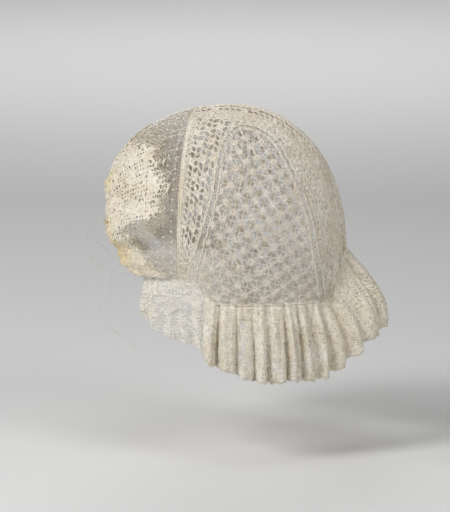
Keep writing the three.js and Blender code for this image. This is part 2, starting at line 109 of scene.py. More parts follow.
def mesh_piece(name, points, faces, material):
    """A smooth mesh from an array of points and arrays of faces, one array for each number of corners."""
    mesh = bpy.data.meshes.new(name)
    mesh.vertices.add(len(points))
    mesh.vertices.foreach_set("co", np.ascontiguousarray(points, dtype=np.float32).ravel())
    corners = np.concatenate([face.ravel() for face in faces]).astype(np.int32)
    sizes = np.concatenate([np.full(len(face), face.shape[1]) for face in faces])
    mesh.loops.add(len(corners))
    mesh.loops.foreach_set("vertex_index", corners)
    mesh.polygons.add(len(sizes))
    mesh.polygons.foreach_set("loop_start", (np.cumsum(sizes) - sizes).astype(np.int32))
    mesh.polygons.foreach_set("use_smooth", np.full(len(sizes), True))
    mesh.update(calc_edges=True)
    mesh.materials.append(material)
    piece = bpy.data.objects.new(name, mesh)
    bpy.context.scene.collection.objects.link(piece)
    return piece


def paper():
    """Matt background paper. It has no pattern at this scale, only a broad, faint unevenness."""
    material, output = new_material("matt_paper")
    clouds = add_node(material, "ShaderNodeTexNoise", {"Scale": 0.8, "Detail": 2.0})
    tone = add_node(material, "ShaderNodeMix", {"data_type": "RGBA"}, {"Factor": clouds.outputs["Fac"]})
    tone.inputs[6].default_value = linear("#eeeeee")
    tone.inputs[7].default_value = linear("#f3f3f2")
    matt = add_node(material, "ShaderNodeBsdfPrincipled", {"Roughness": 0.95, "Specular IOR Level": 0.1},
                    {"Base Color": tone.outputs[2]})
    material.node_tree.links.new(matt.outputs[0], output.inputs["Surface"])
    return material


FLOOR_DROP = 72 * MM
FLOOR_HEIGHT = cad_box[0][2] - FLOOR_DROP
FLOOR_REACH = 14.0
floor_corners = np.array([(x * FLOOR_REACH, y * FLOOR_REACH, FLOOR_HEIGHT)
                          for x, y in ((-1, -1), (1, -1), (1, 1), (-1, 1))])
floor = mesh_piece("paper_floor", floor_corners, [np.array([[0, 1, 2, 3]])], paper())


# Lights. A soft key box stands high at the wearer's left front, with weaker boxes in front, behind, overhead
# and at the right, so the near side of the cap is lit more than the inside that shows through its holes. Four
# more boxes light the floor further out, all round, and are aimed away from the cap.
def soft_box(name, place, size, power, target=picture_middle):
    """A square area light of a size in metres, aimed at a place."""
    light = bpy.data.lights.new(name, "AREA")
    light.size = size
    light.energy = power
    lamp = bpy.data.objects.new(name, light)
    lamp.location = place
    lamp.rotation_euler = (Vector(place) - Vector(target)).to_track_quat("Z", "Y").to_euler()
    lamp.visible_camera = False
    bpy.context.scene.collection.objects.link(lamp)


soft_box("key_box", (1.45, -1.05, 1.5), 0.8, 28)
soft_box("front_box", (0.6, -1.6, 0.9), 0.7, 6)
soft_box("back_box", (1.0, 1.5, 1.0), 0.9, 11)
soft_box("top_box", (0.3, 0.1, 1.9), 0.9, 4)
soft_box("fill_box", (-1.6, -0.4, 1.2), 0.9, 7)
FLOOR_BOX_POWERS = (20, 60, 58, 20)
FLOOR_BOX_OUT = 2.5
FLOOR_BOX_HEIGHT = 2.0
FLOOR_BOX_SIZE = 2.0
FLOOR_BOX_AIM = 7
for turn, power in enumerate(FLOOR_BOX_POWERS):
    heading = CAMERA_AZIMUTH + turn * math.pi / 2
    out = np.array([math.sin(heading), -math.cos(heading)])
    soft_box(f"floor_box_{turn}", (*(out * FLOOR_BOX_OUT), FLOOR_BOX_HEIGHT), FLOOR_BOX_SIZE, power,
             (*(out * FLOOR_BOX_AIM), FLOOR_HEIGHT))

# The air gives a little light of its own. Past the floor's edge it looks as pale as the paper.
AIR_LIGHT = 0.06
AIR_SEEN = 0.58
world = bpy.data.worlds.new("studio_air")
world.use_nodes = True
ray = add_node(world, "ShaderNodeLightPath")
glow = add_node(world, "ShaderNodeMapRange", {"To Min": AIR_LIGHT, "To Max": AIR_SEEN},
                {"Value": ray.outputs["Is Camera Ray"]})
air = world.node_tree.nodes["Background"]
air.inputs["Color"].default_value = linear("#ffffff")
world.node_tree.links.new(glow.outputs[0], air.inputs["Strength"])
bpy.context.scene.world = world


# Side panels of star lace. Little woven linen patches stand in a square net, and twisted threads join
# each one to its neighbours and to the small knots between. Each panel is a tall arch over an ear.
HALF_WIDTH = 78 * MM
EAR_DROP = 125 * MM
BACK_DEPTH = 100 * MM
FRONT_DEPTH = 118 * MM
ROUNDNESS = 2.15
SKIRT_TAPER = 160 * MM
CROWN_WALL = 1.5 * MM
EARS = np.array([0, 3 * MM, CROWN_WALL - EAR_DROP])
SEAM_GAP = 0.6 * MM
NECK_DROP = 36 * MM
NAPE_RISE = 41 * MM
NAPE_RISE_HALF_WIDTH = 36 * MM
FRONT_CORNER_RISE = 20 * MM
FRONT_CORNER_LENGTH = 34 * MM
FRONT_CORNER_SET_BACK = 7 * MM


def share(distance, reach):
    """How far a distance lies towards the form's side, to the form's power."""
    return (np.abs(distance) / reach) ** ROUNDNESS


def depth_reach(y):
    return np.where(y > EARS[1], BACK_DEPTH, FRONT_DEPTH)


def height_reach(z):
    return np.where(z > EARS[2], EAR_DROP, SKIRT_TAPER)


def stack(x, y, z):
    """Points from their three coordinates."""
    return np.stack(np.broadcast_arrays(x, y, z), axis=-1)


def from_side(side, y, z):
    """The form's points straight out to one side of places given by their depth and height."""
    left = 1 - share(y - EARS[1], depth_reach(y)) - share(z - EARS[2], height_reach(z))
    return stack(side * HALF_WIDTH * np.maximum(left, 0) ** (1 / ROUNDNESS), y, z)


def form_reach(points):
    """How far the form reaches each way from between the ears, on the sides that the points are on."""
    return stack(HALF_WIDTH, depth_reach(points[..., 1]), height_reach(points[..., 2]))


def onto_form(points):
    """The form's points in the direction of other points, seen from between the ears."""
    reach = share(points - EARS, form_reach(points)).sum(axis=-1)
    return EARS + (points - EARS) * reach[..., None] ** (-1 / ROUNDNESS)


def unit(vectors):
    return vectors / np.maximum(np.linalg.norm(vectors, axis=-1, keepdims=True), 1e-12)


def normals_at(points):
    """The form's outward normals."""
    offset = points - EARS
    reach = form_reach(points)
    return unit(np.sign(offset) * (np.abs(offset) / reach) ** (ROUNDNESS - 1) / reach)


def proud_of(points, distance):
    """Points of the form, pushed out by a distance."""
    return points + normals_at(points) * np.asarray(distance)[..., None]


def neck_height(x, y):
    """The height of the crown's lower edge, which rises at the nape and at the front corners."""
    nape = np.where(y > EARS[1], np.maximum(0, 1 - np.abs(x) / NAPE_RISE_HALF_WIDTH), 0)
    corner = np.clip((EARS[1] + FRONT_CORNER_SET_BACK - y) / FRONT_CORNER_LENGTH, 0, 1)
    return (EARS[2] - NECK_DROP + NAPE_RISE * (0.5 - 0.5 * np.cos(math.pi * nape))
            + FRONT_CORNER_RISE * corner ** 2 * (3 - 2 * corner))


def smooth_through(values, places, at):
    """A smooth curve through a table's values, read at other places."""
    at = np.clip(at, places[0], places[-1])
    row = np.clip(np.searchsorted(places, at, side="right") - 1, 0, len(places) - 2)
    before = np.maximum(np.arange(len(places)) - 1, 0)
    after = np.minimum(np.arange(len(places)) + 1, len(places) - 1)
    slope = (values[after] - values[before]) / (places[after] - places[before])
    span = places[row + 1] - places[row]
    t = (at - places[row]) / span
    rise = values[row + 1] - values[row]
    return (values[row] + rise * t * t * (3 - 2 * t)
            + span * t * (1 - t) * (slope[row] * (1 - t) - slope[row + 1] * t))


# The ladder's course round a panel, from the front corner over the top to the nape corner: its distance
# behind the ears, its rise from the neck edge to the top, and its width, each as a share.
LADDER_WIDTH = 8 * MM
LADDER_COURSE = np.array([
    (-0.19, 0, 1.06),
    (-0.175, 0.075, 1),
    (-0.067, 0.383, 0.8),
    (0.002, 0.585, 0.72),
    (0.03, 0.797, 0.68),
    (0.08, 0.888, 0.66),
    (0.17, 0.925, 0.66),
    (0.34, 0.899, 0.68),
    (0.498, 0.82, 0.7),
    (0.675, 0.627, 0.74),
    (0.778, 0.441, 0.8),
    (0.82, 0.298, 0.9),
    (0.855, 0.143, 1),
    (0.87, 0, 1.06),
])
COURSE_PLACES = np.linspace(0, 1, len(LADDER_COURSE))


def half_ladder(t):
    return LADDER_WIDTH / 2 * smooth_through(LADDER_COURSE[:, 2], COURSE_PLACES, t)


def ladder_course(side, t):
    y = EARS[1] + BACK_DEPTH * smooth_through(LADDER_COURSE[:, 0], COURSE_PLACES, t)
    rise = smooth_through(LADDER_COURSE[:, 1], COURSE_PLACES, t)
    return from_side(side, y, neck_height(HALF_WIDTH, y) * (1 - rise))


def beside_ladder(side, t, across):
    """Places beside the ladder's course, by a distance across it. Positive is away from the side panel."""
    step = 0.004
    here = ladder_course(side, t)
    along = ladder_course(side, np.minimum(t + step, 1)) - ladder_course(side, np.maximum(t - step, 0))
    outward = -side * unit(np.cross(along, normals_at(here)))
    outward[..., 2] = np.where((t == 0) | (t == 1), 0, outward[..., 2])
    return onto_form(here + outward * np.asarray(across)[..., None])


def onto_side(side, flat):
    """Lays a flat pattern on one side of the form. It is measured back and up from the middle of that side,
    and distances from there keep their length."""
    distance = np.linalg.norm(flat, axis=-1)
    heading = unit(flat)
    back, up = heading[..., 0], heading[..., 1]
    reach = (share(back, np.where(back > 0, BACK_DEPTH, FRONT_DEPTH))
             + share(up, np.where(up > 0, EAR_DROP, SKIRT_TAPER))) ** (-1 / ROUNDNESS)
    out = np.zeros_like(distance)
    steps = 60
    for _ in range(steps):
        part = np.minimum(out / reach, 0.999)
        fall = HALF_WIDTH / reach * part ** (ROUNDNESS - 1) * (1 - part ** ROUNDNESS) ** (1 / ROUNDNESS - 1)
        out = out + distance / steps / np.sqrt(1 + fall ** 2)
    return from_side(side, EARS[1] + back * out, EARS[2] + up * out)


def inside_outline(points, outline):
    """Whether points lie inside a closed outline, both seen from the side."""
    y, z = points[..., 1, None], points[..., 2, None]
    ends = np.roll(outline, -1, axis=0)
    crosses = (outline[:, 2] > z) != (ends[:, 2] > z)
    rise = ends[:, 2] - outline[:, 2]
    slant = (ends[:, 1] - outline[:, 1]) / np.where(rise == 0, 1, rise)
    return (crosses & (y < outline[:, 1] + slant * (z - outline[:, 2]))).sum(axis=-1) % 2 == 1


def tubes(lines, radius, sides, outward):
    """Closed tubes round polylines of one length. lines is (lines, points, 3), and outward, of the same
    shape, points off the cloth. Gives the points and the faces."""
    lines = np.asarray(lines, dtype=float)
    count, length, _ = lines.shape
    along = unit(np.gradient(lines, axis=1))
    across = unit(np.cross(along, outward))
    up = np.cross(across, along)
    angle = 2 * math.pi * (np.arange(sides) + 0.5) / sides
    size = np.broadcast_to(np.asarray(radius, dtype=float), (count, length))[..., None, None]
    ring = across[:, :, None] * np.cos(angle)[:, None] + up[:, :, None] * np.sin(angle)[:, None]
    points = (lines[:, :, None] + size * ring).reshape(-1, 3)
    start = np.arange(count)[:, None, None] * length * sides
    step = np.arange(length - 1)[None, :, None] * sides
    k = np.arange(sides)[None, None, :]
    a = start + step + k
    b = start + step + (k + 1) % sides
    walls = np.stack([b, a, a + sides, b + sides], axis=-1).reshape(-1, 4)
    first_end = (start[:, 0] + np.arange(sides)).reshape(-1, sides)
    last_end = (start[:, 0] + (length - 1) * sides + np.arange(sides)[::-1]).reshape(-1, sides)
    return points, [walls, np.concatenate([first_end, last_end])]


def joined(parts):
    """One list of points and faces from several."""
    points, faces, total = [], {}, 0
    for part_points, part_faces in parts:
        points.append(part_points)
        for face in part_faces:
            faces.setdefault(face.shape[1], []).append(face + total)
        total += len(part_points)
    return np.concatenate(points), [np.concatenate(group) for group in faces.values()]


PATCH_WIDTH = 20 * MM
FLECK_WIDTH = 2.5 * MM
TWIST_LENGTH = 0.6 * MM
TWIST_HEIGHT = 0.25 * MM


def washed_linen(name, pale, deep, dust_and_shade_colour="#cfc2b0", stains=(), flecked=0.6):
    """Washed linen lace thread, spun, bleached and aged. It is matt and a little fuzzy, with cream and ivory
    in soft patches, darker flecks that are partly dust and partly painted shade, the dark of gaps and
    creases, the twist of the thread as a fine bump, and stains as soft-edged spots, each with its place, its
    radius and its colour."""
    material, output = new_material(name)
    place = add_node(material, "ShaderNodeTexCoord").outputs["Object"]
    on_thread = {"Vector": place}
    patches = add_node(material, "ShaderNodeTexNoise", {"Scale": 1 / PATCH_WIDTH, "Detail": 3.0}, on_thread)
    flecks = add_node(material, "ShaderNodeTexNoise", {"Scale": 1 / FLECK_WIDTH, "Detail": 2.0}, on_thread)
    spread = add_node(material, "ShaderNodeValToRGB", {}, {"Fac": patches.outputs["Fac"]})
    spread.color_ramp.elements[0].position = 0.35
    spread.color_ramp.elements[0].color = linear(deep)
    spread.color_ramp.elements[1].position = 0.62
    spread.color_ramp.elements[1].color = linear(pale)
    # The flecks mix towards a darker colour. This is partly dust and partly painted shade that stands in for
    # the dark of gaps and creases.
    dust_and_shade_flecks = add_node(material, "ShaderNodeMapRange", {"From Min": 0.42, "From Max": 0.68, "To Max": flecked},
                    {"Value": flecks.outputs["Fac"]})
    tone = add_node(material, "ShaderNodeMix", {"data_type": "RGBA"}, {"Factor": dust_and_shade_flecks.outputs[0]})
    material.node_tree.links.new(spread.outputs["Color"], tone.inputs[6])
    tone.inputs[7].default_value = linear(dust_and_shade_colour)
    for middle, radius, colour in stains:
        away = add_node(material, "ShaderNodeVectorMath", {"operation": "DISTANCE"}, {0: place})
        away.inputs[1].default_value = middle
        uneven = add_node(material, "ShaderNodeMath", {"operation": "MULTIPLY_ADD", 1: -radius},
                          {0: patches.outputs["Fac"], 2: away.outputs["Value"]})
        strength = add_node(material, "ShaderNodeMapRange", {"From Min": radius / 2, "From Max": -radius / 2},
                            {"Value": uneven.outputs[0]})
        clean = tone
        tone = add_node(material, "ShaderNodeMix", {"data_type": "RGBA"}, {"Factor": strength.outputs[0]})
        material.node_tree.links.new(clean.outputs[2], tone.inputs[6])
        tone.inputs[7].default_value = linear(colour)
    twist = add_node(material, "ShaderNodeTexNoise", {"Scale": 1 / TWIST_LENGTH, "Detail": 2.0}, on_thread)
    bump = add_node(material, "ShaderNodeBump", {"Strength": 0.6, "Distance": TWIST_HEIGHT},
                    {"Height": twist.outputs["Fac"]})
    linen = add_node(material, "ShaderNodeBsdfPrincipled", {
        "Roughness": 0.85,
        "Specular IOR Level": 0.25,
        "Sheen Weight": 0.2,
        "Sheen Roughness": 0.5,
    }, {"Base Color": tone.outputs[2], "Normal": bump.outputs["Normal"]})
    material.node_tree.links.new(linen.outputs[0], output.inputs["Surface"])
    return material


STAR_STEP_DOWN = np.array([6.3, -9.1]) * MM
STAR_STEP_UP = np.array([9.2, 5.56]) * MM
STAR_ORIGIN = np.array([2.0, 8.0]) * MM
STARS_OUT = 16
STAR_HALF = 2.9 * MM
STAR_UNEVEN = 0.35 * MM
PATCH_THREADS = 5
PATCH_REACH = np.array([0.62, 0.92, 1.0, 0.92, 0.62])
PATCH_SPACING = 0.42
WEAVE_HEIGHT = 0.18 * MM
PAIR_APART = 0.55 * MM
THREAD_BOW = 0.22 * MM
THREAD_STRAY = 0.12 * MM
KNOT_HALF = 0.55 * MM
KNOT_RADII = np.array([[0.3, 0.62, 0.3]]) * MM
THREAD = 0.42 * MM
LACE_DEPTH = -0.75 * MM


def panel_outline(side):
    """The outline of a side panel, up one leg of the ladder, down the other and back along the neck edge."""
    t = np.linspace(0, 1, 120)
    legs = beside_ladder(side, t, -half_ladder(t) - SEAM_GAP / 2)
    y = np.linspace(legs[-1, 1], legs[0, 1], 24)[1:-1]
    return np.concatenate([legs, from_side(side, y, neck_height(HALF_WIDTH, y))])


def cut_to_panel(side, ends, outline):
    """Keeps the flat threads that are in the panel, and shortens those that leave it."""
    within = inside_outline(onto_side(side, ends), outline)
    ends, within = ends[within.any(axis=1)], within[within.any(axis=1)]
    ends = np.where(within[:, :1, None], ends, ends[:, ::-1])
    start, stop = ends[:, 0], ends[:, 1]
    low = np.zeros(len(ends))
    high = np.ones(len(ends))
    whole = within.all(axis=1)
    for _ in range(9):
        middle = (low + high) / 2
        still_in = inside_outline(onto_side(side, start + (stop - start) * middle[:, None]), outline)
        low, high = np.where(still_in, middle, low), np.where(still_in, high, middle)
    reach = np.where(whole, 1, low)[:, None]
    return np.stack([start, start + (stop - start) * reach], axis=1)


def thread_ends(starts, stops):
    """The two ends of each flat thread, from grids of where they start and stop."""
    return np.stack([starts.reshape(-1, 2), stops.reshape(-1, 2)], axis=1)


def square_to(ends):
    """The directions square to flat threads, from their two ends."""
    run = ends[:, 1] - ends[:, 0]
    return unit(np.stack([-run[:, 1], run[:, 0]], axis=-1))


def star_threads(side, outline, rng):
    """All the threads of one panel's star lace, as tubes."""
    steps = np.arange(-STARS_OUT, STARS_OUT + 1)
    even = STAR_ORIGIN + steps[:, None, None] * STAR_STEP_DOWN + steps[:, None] * STAR_STEP_UP
    grid = even + rng.normal(0, STAR_UNEVEN, even.shape)
    knots = (grid[:-1, :-1] + grid[1:, 1:]) / 2
    parts = []
    for start, stop in ((grid[:-1], grid[1:]), (grid[:, :-1], grid[:, 1:])):
        ends = thread_ends(start, stop)
        for apart in (-PAIR_APART, PAIR_APART):
            shifted = ends + square_to(ends)[:, None] * apart
            parts.append(laid_threads(side, cut_to_panel(side, shifted, outline), apart * 0.5, rng))
    for start in (grid[:-1, :-1], grid[1:, 1:], grid[1:, :-1], grid[:-1, 1:]):
        ends = cut_to_panel(side, thread_ends(start, knots), outline)
        parts.append(laid_threads(side, ends, 0, rng))
    stars, knots = [flat[inside_outline(onto_side(side, flat), outline)]
                    for flat in (grid.reshape(-1, 2), knots.reshape(-1, 2))]
    return [*parts, *woven_patches(side, stars), knot_dots(side, knots)]


def laid_threads(side, ends, bow, rng):
    """Threads between flat ends, a little bowed and uneven, laid on the form."""
    t = np.linspace(0, 1, 5)
    run = ends[:, 1] - ends[:, 0]
    across = square_to(ends)
    sag = bow + rng.normal(0, THREAD_BOW, len(ends))
    flat = (ends[:, :1] + run[:, None] * t[:, None]
            + across[:, None] * (sag[:, None] * np.sin(math.pi * t))[..., None])
    lines = onto_side(side, flat)
    outward = normals_at(lines)
    depth = LACE_DEPTH + rng.normal(0, THREAD_STRAY, (len(ends), 1, 1))
    return tubes(lines + outward * depth, THREAD * rng.uniform(0.85, 1.2, (len(ends), 1)), 4, outward)


def woven_patches(side, stars):
    """The cloth-stitch patch of each star: threads both ways that pass over and under each other."""
    order = np.arange(PATCH_THREADS)
    rows = (order - PATCH_THREADS // 2) * PATCH_SPACING
    t = np.linspace(-1, 1, PATCH_THREADS)
    ways = [(unit(STAR_STEP_DOWN), unit(STAR_STEP_UP)), (unit(STAR_STEP_UP), unit(STAR_STEP_DOWN))]
    for way, (along, across) in enumerate(ways):
        flat = (stars[:, None, None] + along * (t * PATCH_REACH[:, None])[None, ..., None] * STAR_HALF
                + across * rows[:, None, None] * STAR_HALF)
        lines = onto_side(side, flat.reshape(-1, PATCH_THREADS, 2))
        outward = normals_at(lines)
        weave = np.where((order[:, None] + order + way) % 2 == 0, 1, -1) * WEAVE_HEIGHT
        depth = LACE_DEPTH + np.tile(weave, (len(stars), 1))
        yield tubes(lines + outward * depth[..., None], THREAD, 4, outward)


def knot_dots(side, knots):
    """The small knots where four threads cross: short thick twists."""
    t = np.linspace(-1, 1, 3)
    flat = knots[:, None] + unit(STAR_STEP_UP) * t[:, None] * KNOT_HALF
    lines = onto_side(side, flat)
    outward = normals_at(lines)
    return tubes(lines + outward * LACE_DEPTH, KNOT_RADII, 6, outward)


def edge_cord(points, radius, outward, sides=6):
    """A cord along one line of points."""
    return tubes(points[None], radius, sides, outward[None])


PANEL_HEM = 0.45 * MM
SIDES = ((1, "left"), (-1, "right"))
star_linen = washed_linen("star_lace_linen", "#fef7ec", "#f4eada")
for side, side_name in SIDES:
    rng = np.random.default_rng(11 + side)
    outline = panel_outline(side)
    hem = proud_of(np.concatenate([outline, outline[:1]]), LACE_DEPTH)
    parts = star_threads(side, outline, rng)
    parts.append(edge_cord(hem, PANEL_HEM, normals_at(hem)))
    panel = mesh_piece(f"star_lace_{side_name}", *joined(parts), star_linen)
    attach(panel, "root")
    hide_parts(f"side_panel_{side_name}")


# Ladders. A narrow band of bobbin lace runs round each side panel: two firm edge threads,
# with fine rungs between them that lean and cross here and there.
RUNG_STEP = 2.15 * MM
RUNG = 0.36 * MM
STITCH_STEP = 2.4 * MM
LADDER_CORD = 0.62 * MM
LADDER_PROUD = -0.2 * MM
CORD_TWIST = 330
CORD_STRAND = 0.6 * MM
STRAND_SWAY = 0.35 * MM
STRAND_LIFT = 0.175 * MM
STITCH = 0.2 * MM
STITCH_ARCH = np.array([-0.4, 0.2, -0.4]) * MM
STITCH_BITE = 0.7 * MM
RUNG_LEAN = 0.0016
RUNGS_CROSSED = 0.3


def lengths_along(points):
    """The length along a line up to each of its points."""
    return np.concatenate([[0], np.linalg.norm(np.diff(points, axis=0), axis=1).cumsum()])


def along_course(side, step):
    """Evenly spaced places along the ladder's course."""
    t = np.linspace(0, 1, 1200)
    run = lengths_along(ladder_course(side, t))
    return np.interp(np.arange(step, run[-1], step), run, t)


def whip_stitches(one_edge, other_edge, radius=STITCH):
    """Sewing stitches between two edges given at the same places, each slanting on to the next."""
    lines = np.stack([one_edge[:-1], (one_edge[:-1] + other_edge[1:]) / 2, other_edge[1:]], axis=1)
    outward = normals_at(lines)
    return tubes(lines + outward * STITCH_ARCH[:, None], radius, 4, outward)


ladder_linen = washed_linen("ladder_lace_linen", "#fffaf0", "#f7eedf")
for side, side_name in SIDES:
    rng = np.random.default_rng(23 + side)
    parts = []
    t = np.linspace(0, 1, 260)
    sway = STRAND_SWAY * np.cos(t * CORD_TWIST)
    for edge in (-1, 1):
        for lift in (-STRAND_LIFT, STRAND_LIFT):
            cord = beside_ladder(side, t, edge * (half_ladder(t) - LADDER_CORD) + sway)
            outward = normals_at(cord)
            cord = cord + outward * (LADDER_PROUD + lift * np.sin(t * CORD_TWIST))[:, None]
            parts.append(edge_cord(cord, CORD_STRAND, outward, 5))
    t = along_course(side, RUNG_STEP)
    lean = rng.normal(0, RUNG_LEAN, len(t))
    t_near, t_far = np.clip(t + lean, 0.001, 0.999), np.clip(t - lean, 0.001, 0.999)
    reach = half_ladder(t) - LADDER_CORD
    ends = np.stack([beside_ladder(side, t_near, -reach), beside_ladder(side, t_far, reach)], axis=1)
    middle = onto_form(ends.mean(axis=1, keepdims=True) + rng.normal(0, 0.3 * MM, (len(t), 1, 3)))
    rungs = np.concatenate([ends[:, :1], middle, ends[:, 1:]], axis=1)
    outward = normals_at(rungs)
    thickness = RUNG * rng.uniform(0.8, 1.25, (len(t), 1))
    parts.append(tubes(rungs + outward * LACE_DEPTH, thickness, 5, outward))
    crossing = rng.random(len(t) - 1) < RUNGS_CROSSED
    ends = np.stack([rungs[:-1, 0], rungs[1:, 1], rungs[1:, 2]], axis=1)[crossing]
    outward = normals_at(ends)
    parts.append(tubes(ends + outward * (LACE_DEPTH - 0.3 * MM), RUNG * 0.8, 4, outward))
    t = along_course(side, STITCH_STEP)
    for edge, over in ((-1, 0.9 * MM), (1, 1.5 * MM)):
        stitched = [beside_ladder(side, t, edge * (half_ladder(t) + past)) for past in (over, -STITCH_BITE)]
        parts.append(whip_stitches(*stitched))
    ladder = mesh_piece(f"ladder_lace_{side_name}", *joined(parts), ladder_linen)
    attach(ladder, "root")
    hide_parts(f"ladder_{side_name}")


# Side borders of eyelet lace. Each lies round a ladder, out to the front seam and the centre strip: fine
# eyelets along the outer edge, then zigzags of larger holes round lozenges of cloth stitch.
CELL = 5.2 * MM
SEAM_RADIUS = 1.1 * MM
SEAM_CLEAR = SEAM_RADIUS + SEAM_GAP / 2
SEAM_Y = -28 * MM
STRIP_HALF_WIDTH = 24 * MM
BORDER_CORNER = 6.5 / 14
LACE_WALL = 0.65 * MM


def facing_out(points, faces):
    """The same closed surface with its faces turned outwards."""
    volume = 0
    for face in faces:
        for k in range(1, face.shape[1] - 1):
            a, b, c = points[face[:, 0]], points[face[:, k]], points[face[:, k + 1]]
            volume += (a * np.cross(b, c)).sum()
    return (points, faces) if volume > 0 else (points, [face[:, ::-1] for face in faces])


def pierced_cloth(corners, outward, hole, keep, wall):
    """A closed sheet of cells, most of them with a round hole. corners is (rows + 1, columns + 1, 3), hole
    the width of each cell's hole as a share of the cell, and keep says which cells there are."""
    rows, columns = hole.shape
    count = (rows + 1) * (columns + 1)
    inner = corners - outward * wall
    points = [corners.reshape(-1, 3), inner.reshape(-1, 3)]
    number = np.arange(count).reshape(rows + 1, columns + 1)
    cell = np.stack([number[:-1, :-1], number[:-1, 1:], number[1:, 1:], number[1:, :-1]], axis=-1)
    whole = cell[keep & (hole <= 0)]
    quads = [whole, whole[:, ::-1] + count]
    cut = keep & (hole > 0)
    ring = cell[cut]
    angle = (np.arange(8) + 0.5) * math.pi / 4
    u = 0.5 + 0.5 * hole[cut][:, None] * np.cos(angle)
    v = 0.5 + 0.5 * hole[cut][:, None] * np.sin(angle)
    blend = np.stack([(1 - u) * (1 - v), u * (1 - v), u * v, (1 - u) * v], axis=-1)
    points += [np.einsum("chk,ckx->chx", blend, layer.reshape(-1, 3)[ring]).reshape(-1, 3)
               for layer in (corners, inner)]
    top = 2 * count + np.arange(len(ring))[:, None] * 8 + np.arange(8)
    under = top + len(ring) * 8
    triangles = []
    for k, corner in enumerate((2, 3, 0, 1)):
        following = (corner + 1) % 4
        face = np.stack([ring[:, corner], top[:, 2 * k + 1], top[:, 2 * k]], axis=1)
        triangles += [face, np.stack([ring[:, corner] + count, under[:, 2 * k], under[:, 2 * k + 1]], axis=1)]
        after = (2 * k + 2) % 8
        side = [ring[:, corner], ring[:, following], top[:, after], top[:, 2 * k + 1]]
        below = [ring[:, following] + count, ring[:, corner] + count, under[:, 2 * k + 1], under[:, after]]
        quads += [np.stack(side, axis=1), np.stack(below, axis=1)]
    following = np.roll(np.arange(8), -1)
    wall_faces = np.stack([top, top[:, following], under[:, following], under], axis=-1)
    quads.append(wall_faces.reshape(-1, 4))
    padded = np.pad(keep, 1)
    for (down, right), (a, b) in (((-1, 0), (0, 1)), ((0, 1), (1, 2)), ((1, 0), (2, 3)), ((0, -1), (3, 0))):
        beside = padded[1 + down:rows + 1 + down, 1 + right:columns + 1 + right]
        edge = cell[keep & ~beside]
        quads.append(np.stack([edge[:, b], edge[:, a], edge[:, a] + count, edge[:, b] + count], axis=1))
    points = np.concatenate(points)
    faces = [np.concatenate(quads), np.concatenate(triangles)]
    used, place = np.unique(np.concatenate([face.ravel() for face in faces]), return_inverse=True)
    split = faces[0].size
    faces = [place[:split].reshape(-1, 4), place[split:].reshape(-1, 3)]
    return facing_out(points[used], faces)


def height_at(x, y):
    """The form's height over a place."""
    left = 1 - share(x, HALF_WIDTH) - share(y - EARS[1], depth_reach(y))
    return EARS[2] + EAR_DROP * np.maximum(left, 0) ** (1 / ROUNDNESS)


def onto_form_keeping(axis, points):
    """Points moved onto the form in planes of their own, which keep their x (axis 0) or their y (axis 1)."""
    shares = share(points - EARS, form_reach(points))
    used = shares.sum(axis=-1) - shares[..., axis]
    scale = ((1 - shares[..., axis]) / used) ** (1 / ROUNDNESS)
    moved = EARS + (points - EARS) * scale[..., None]
    moved[..., axis] = points[..., axis]
    return moved


def strip_line(x, t):
    """Lines over the crown at distances x from its middle, t from the front seam to the nape."""
    start = SEAM_Y + SEAM_CLEAR
    scale = (1 - share(x, HALF_WIDTH)) ** (1 / ROUNDNESS)
    first_angle = np.arccos((start - EARS[1]) / (scale * FRONT_DEPTH))
    neck = neck_height(x, BACK_DEPTH)
    below = (EARS[2] - neck) / np.where(neck < EARS[2], SKIRT_TAPER, EAR_DROP)
    angle = first_angle - (first_angle + np.arcsin(np.clip(below, -1, 1) / scale)) * t
    aim = stack(
        x,
        EARS[1] + scale * np.cos(angle) * np.where(angle > math.pi / 2, FRONT_DEPTH, BACK_DEPTH),
        EARS[2] + scale * np.sin(angle) * np.where(angle > 0, EAR_DROP, SKIRT_TAPER),
    )
    points = onto_form_keeping(0, aim)
    at_seam = stack(x, start, height_at(x, start))
    depth_left = 1 - share(x, HALF_WIDTH) - share(neck - EARS[2], height_reach(neck))
    at_neck = stack(x, EARS[1] + BACK_DEPTH * np.maximum(depth_left, 0) ** (1 / ROUNDNESS), neck)
    points = np.where(np.equal(t, 0)[..., None], at_seam, points)
    return np.where(np.equal(t, 1)[..., None], at_neck, points)


def border_outer(side, v):
    """The outer line of a side border: up the front seam to the centre strip, then back along the strip."""
    y = SEAM_Y + SEAM_CLEAR
    x = STRIP_HALF_WIDTH + SEAM_GAP / 2
    foot = neck_height(HALF_WIDTH, y)
    climb = np.sin(np.minimum(v / BORDER_CORNER, 1) * math.pi / 2)
    up_seam = from_side(side, np.full_like(v, y), foot + (height_at(x, y) - foot) * climb)
    back = strip_line(np.full_like(v, side * x), np.maximum(v - BORDER_CORNER, 0) / (1 - BORDER_CORNER))
    return np.where((v <= BORDER_CORNER)[..., None], up_seam, back)


def even_places(line, step):
    """Places from 0 to 1 that cut a line into even steps. line gives the points for an array of places."""
    fine = np.linspace(0, 1, 2400)
    run = lengths_along(line(fine))
    return np.interp(np.linspace(0, run[-1], max(2, round(run[-1] / step)) + 1), run, fine)


def trimmed_cells(widths, reach):
    """How far across each column of cells starts on lines that are reach long, and which cells are there."""
    starts = np.minimum(np.concatenate([[0], np.cumsum(widths)]), reach[:, None])
    there = np.diff(starts, axis=1) > 0.3 * widths
    return starts, there[:-1] & there[1:]


def cell_threads(corners, outward, keep, upright, level):
    """Threads laid along the sides of the cells that there are, with one radius for each way."""
    padded = np.pad(keep, 1)
    parts = []
    for start, stop, there, radius in (
        (np.s_[:-1], np.s_[1:], padded[1:-1, 1:] | padded[1:-1, :-1], upright),
        (np.s_[:, :-1], np.s_[:, 1:], padded[1:, 1:-1] | padded[:-1, 1:-1], level),
    ):
        lines = np.stack([corners[start][there], corners[stop][there]], axis=1)
        parts.append(tubes(lines, radius, 4, np.stack([outward[start][there], outward[stop][there]], axis=1)))
    return joined(parts)


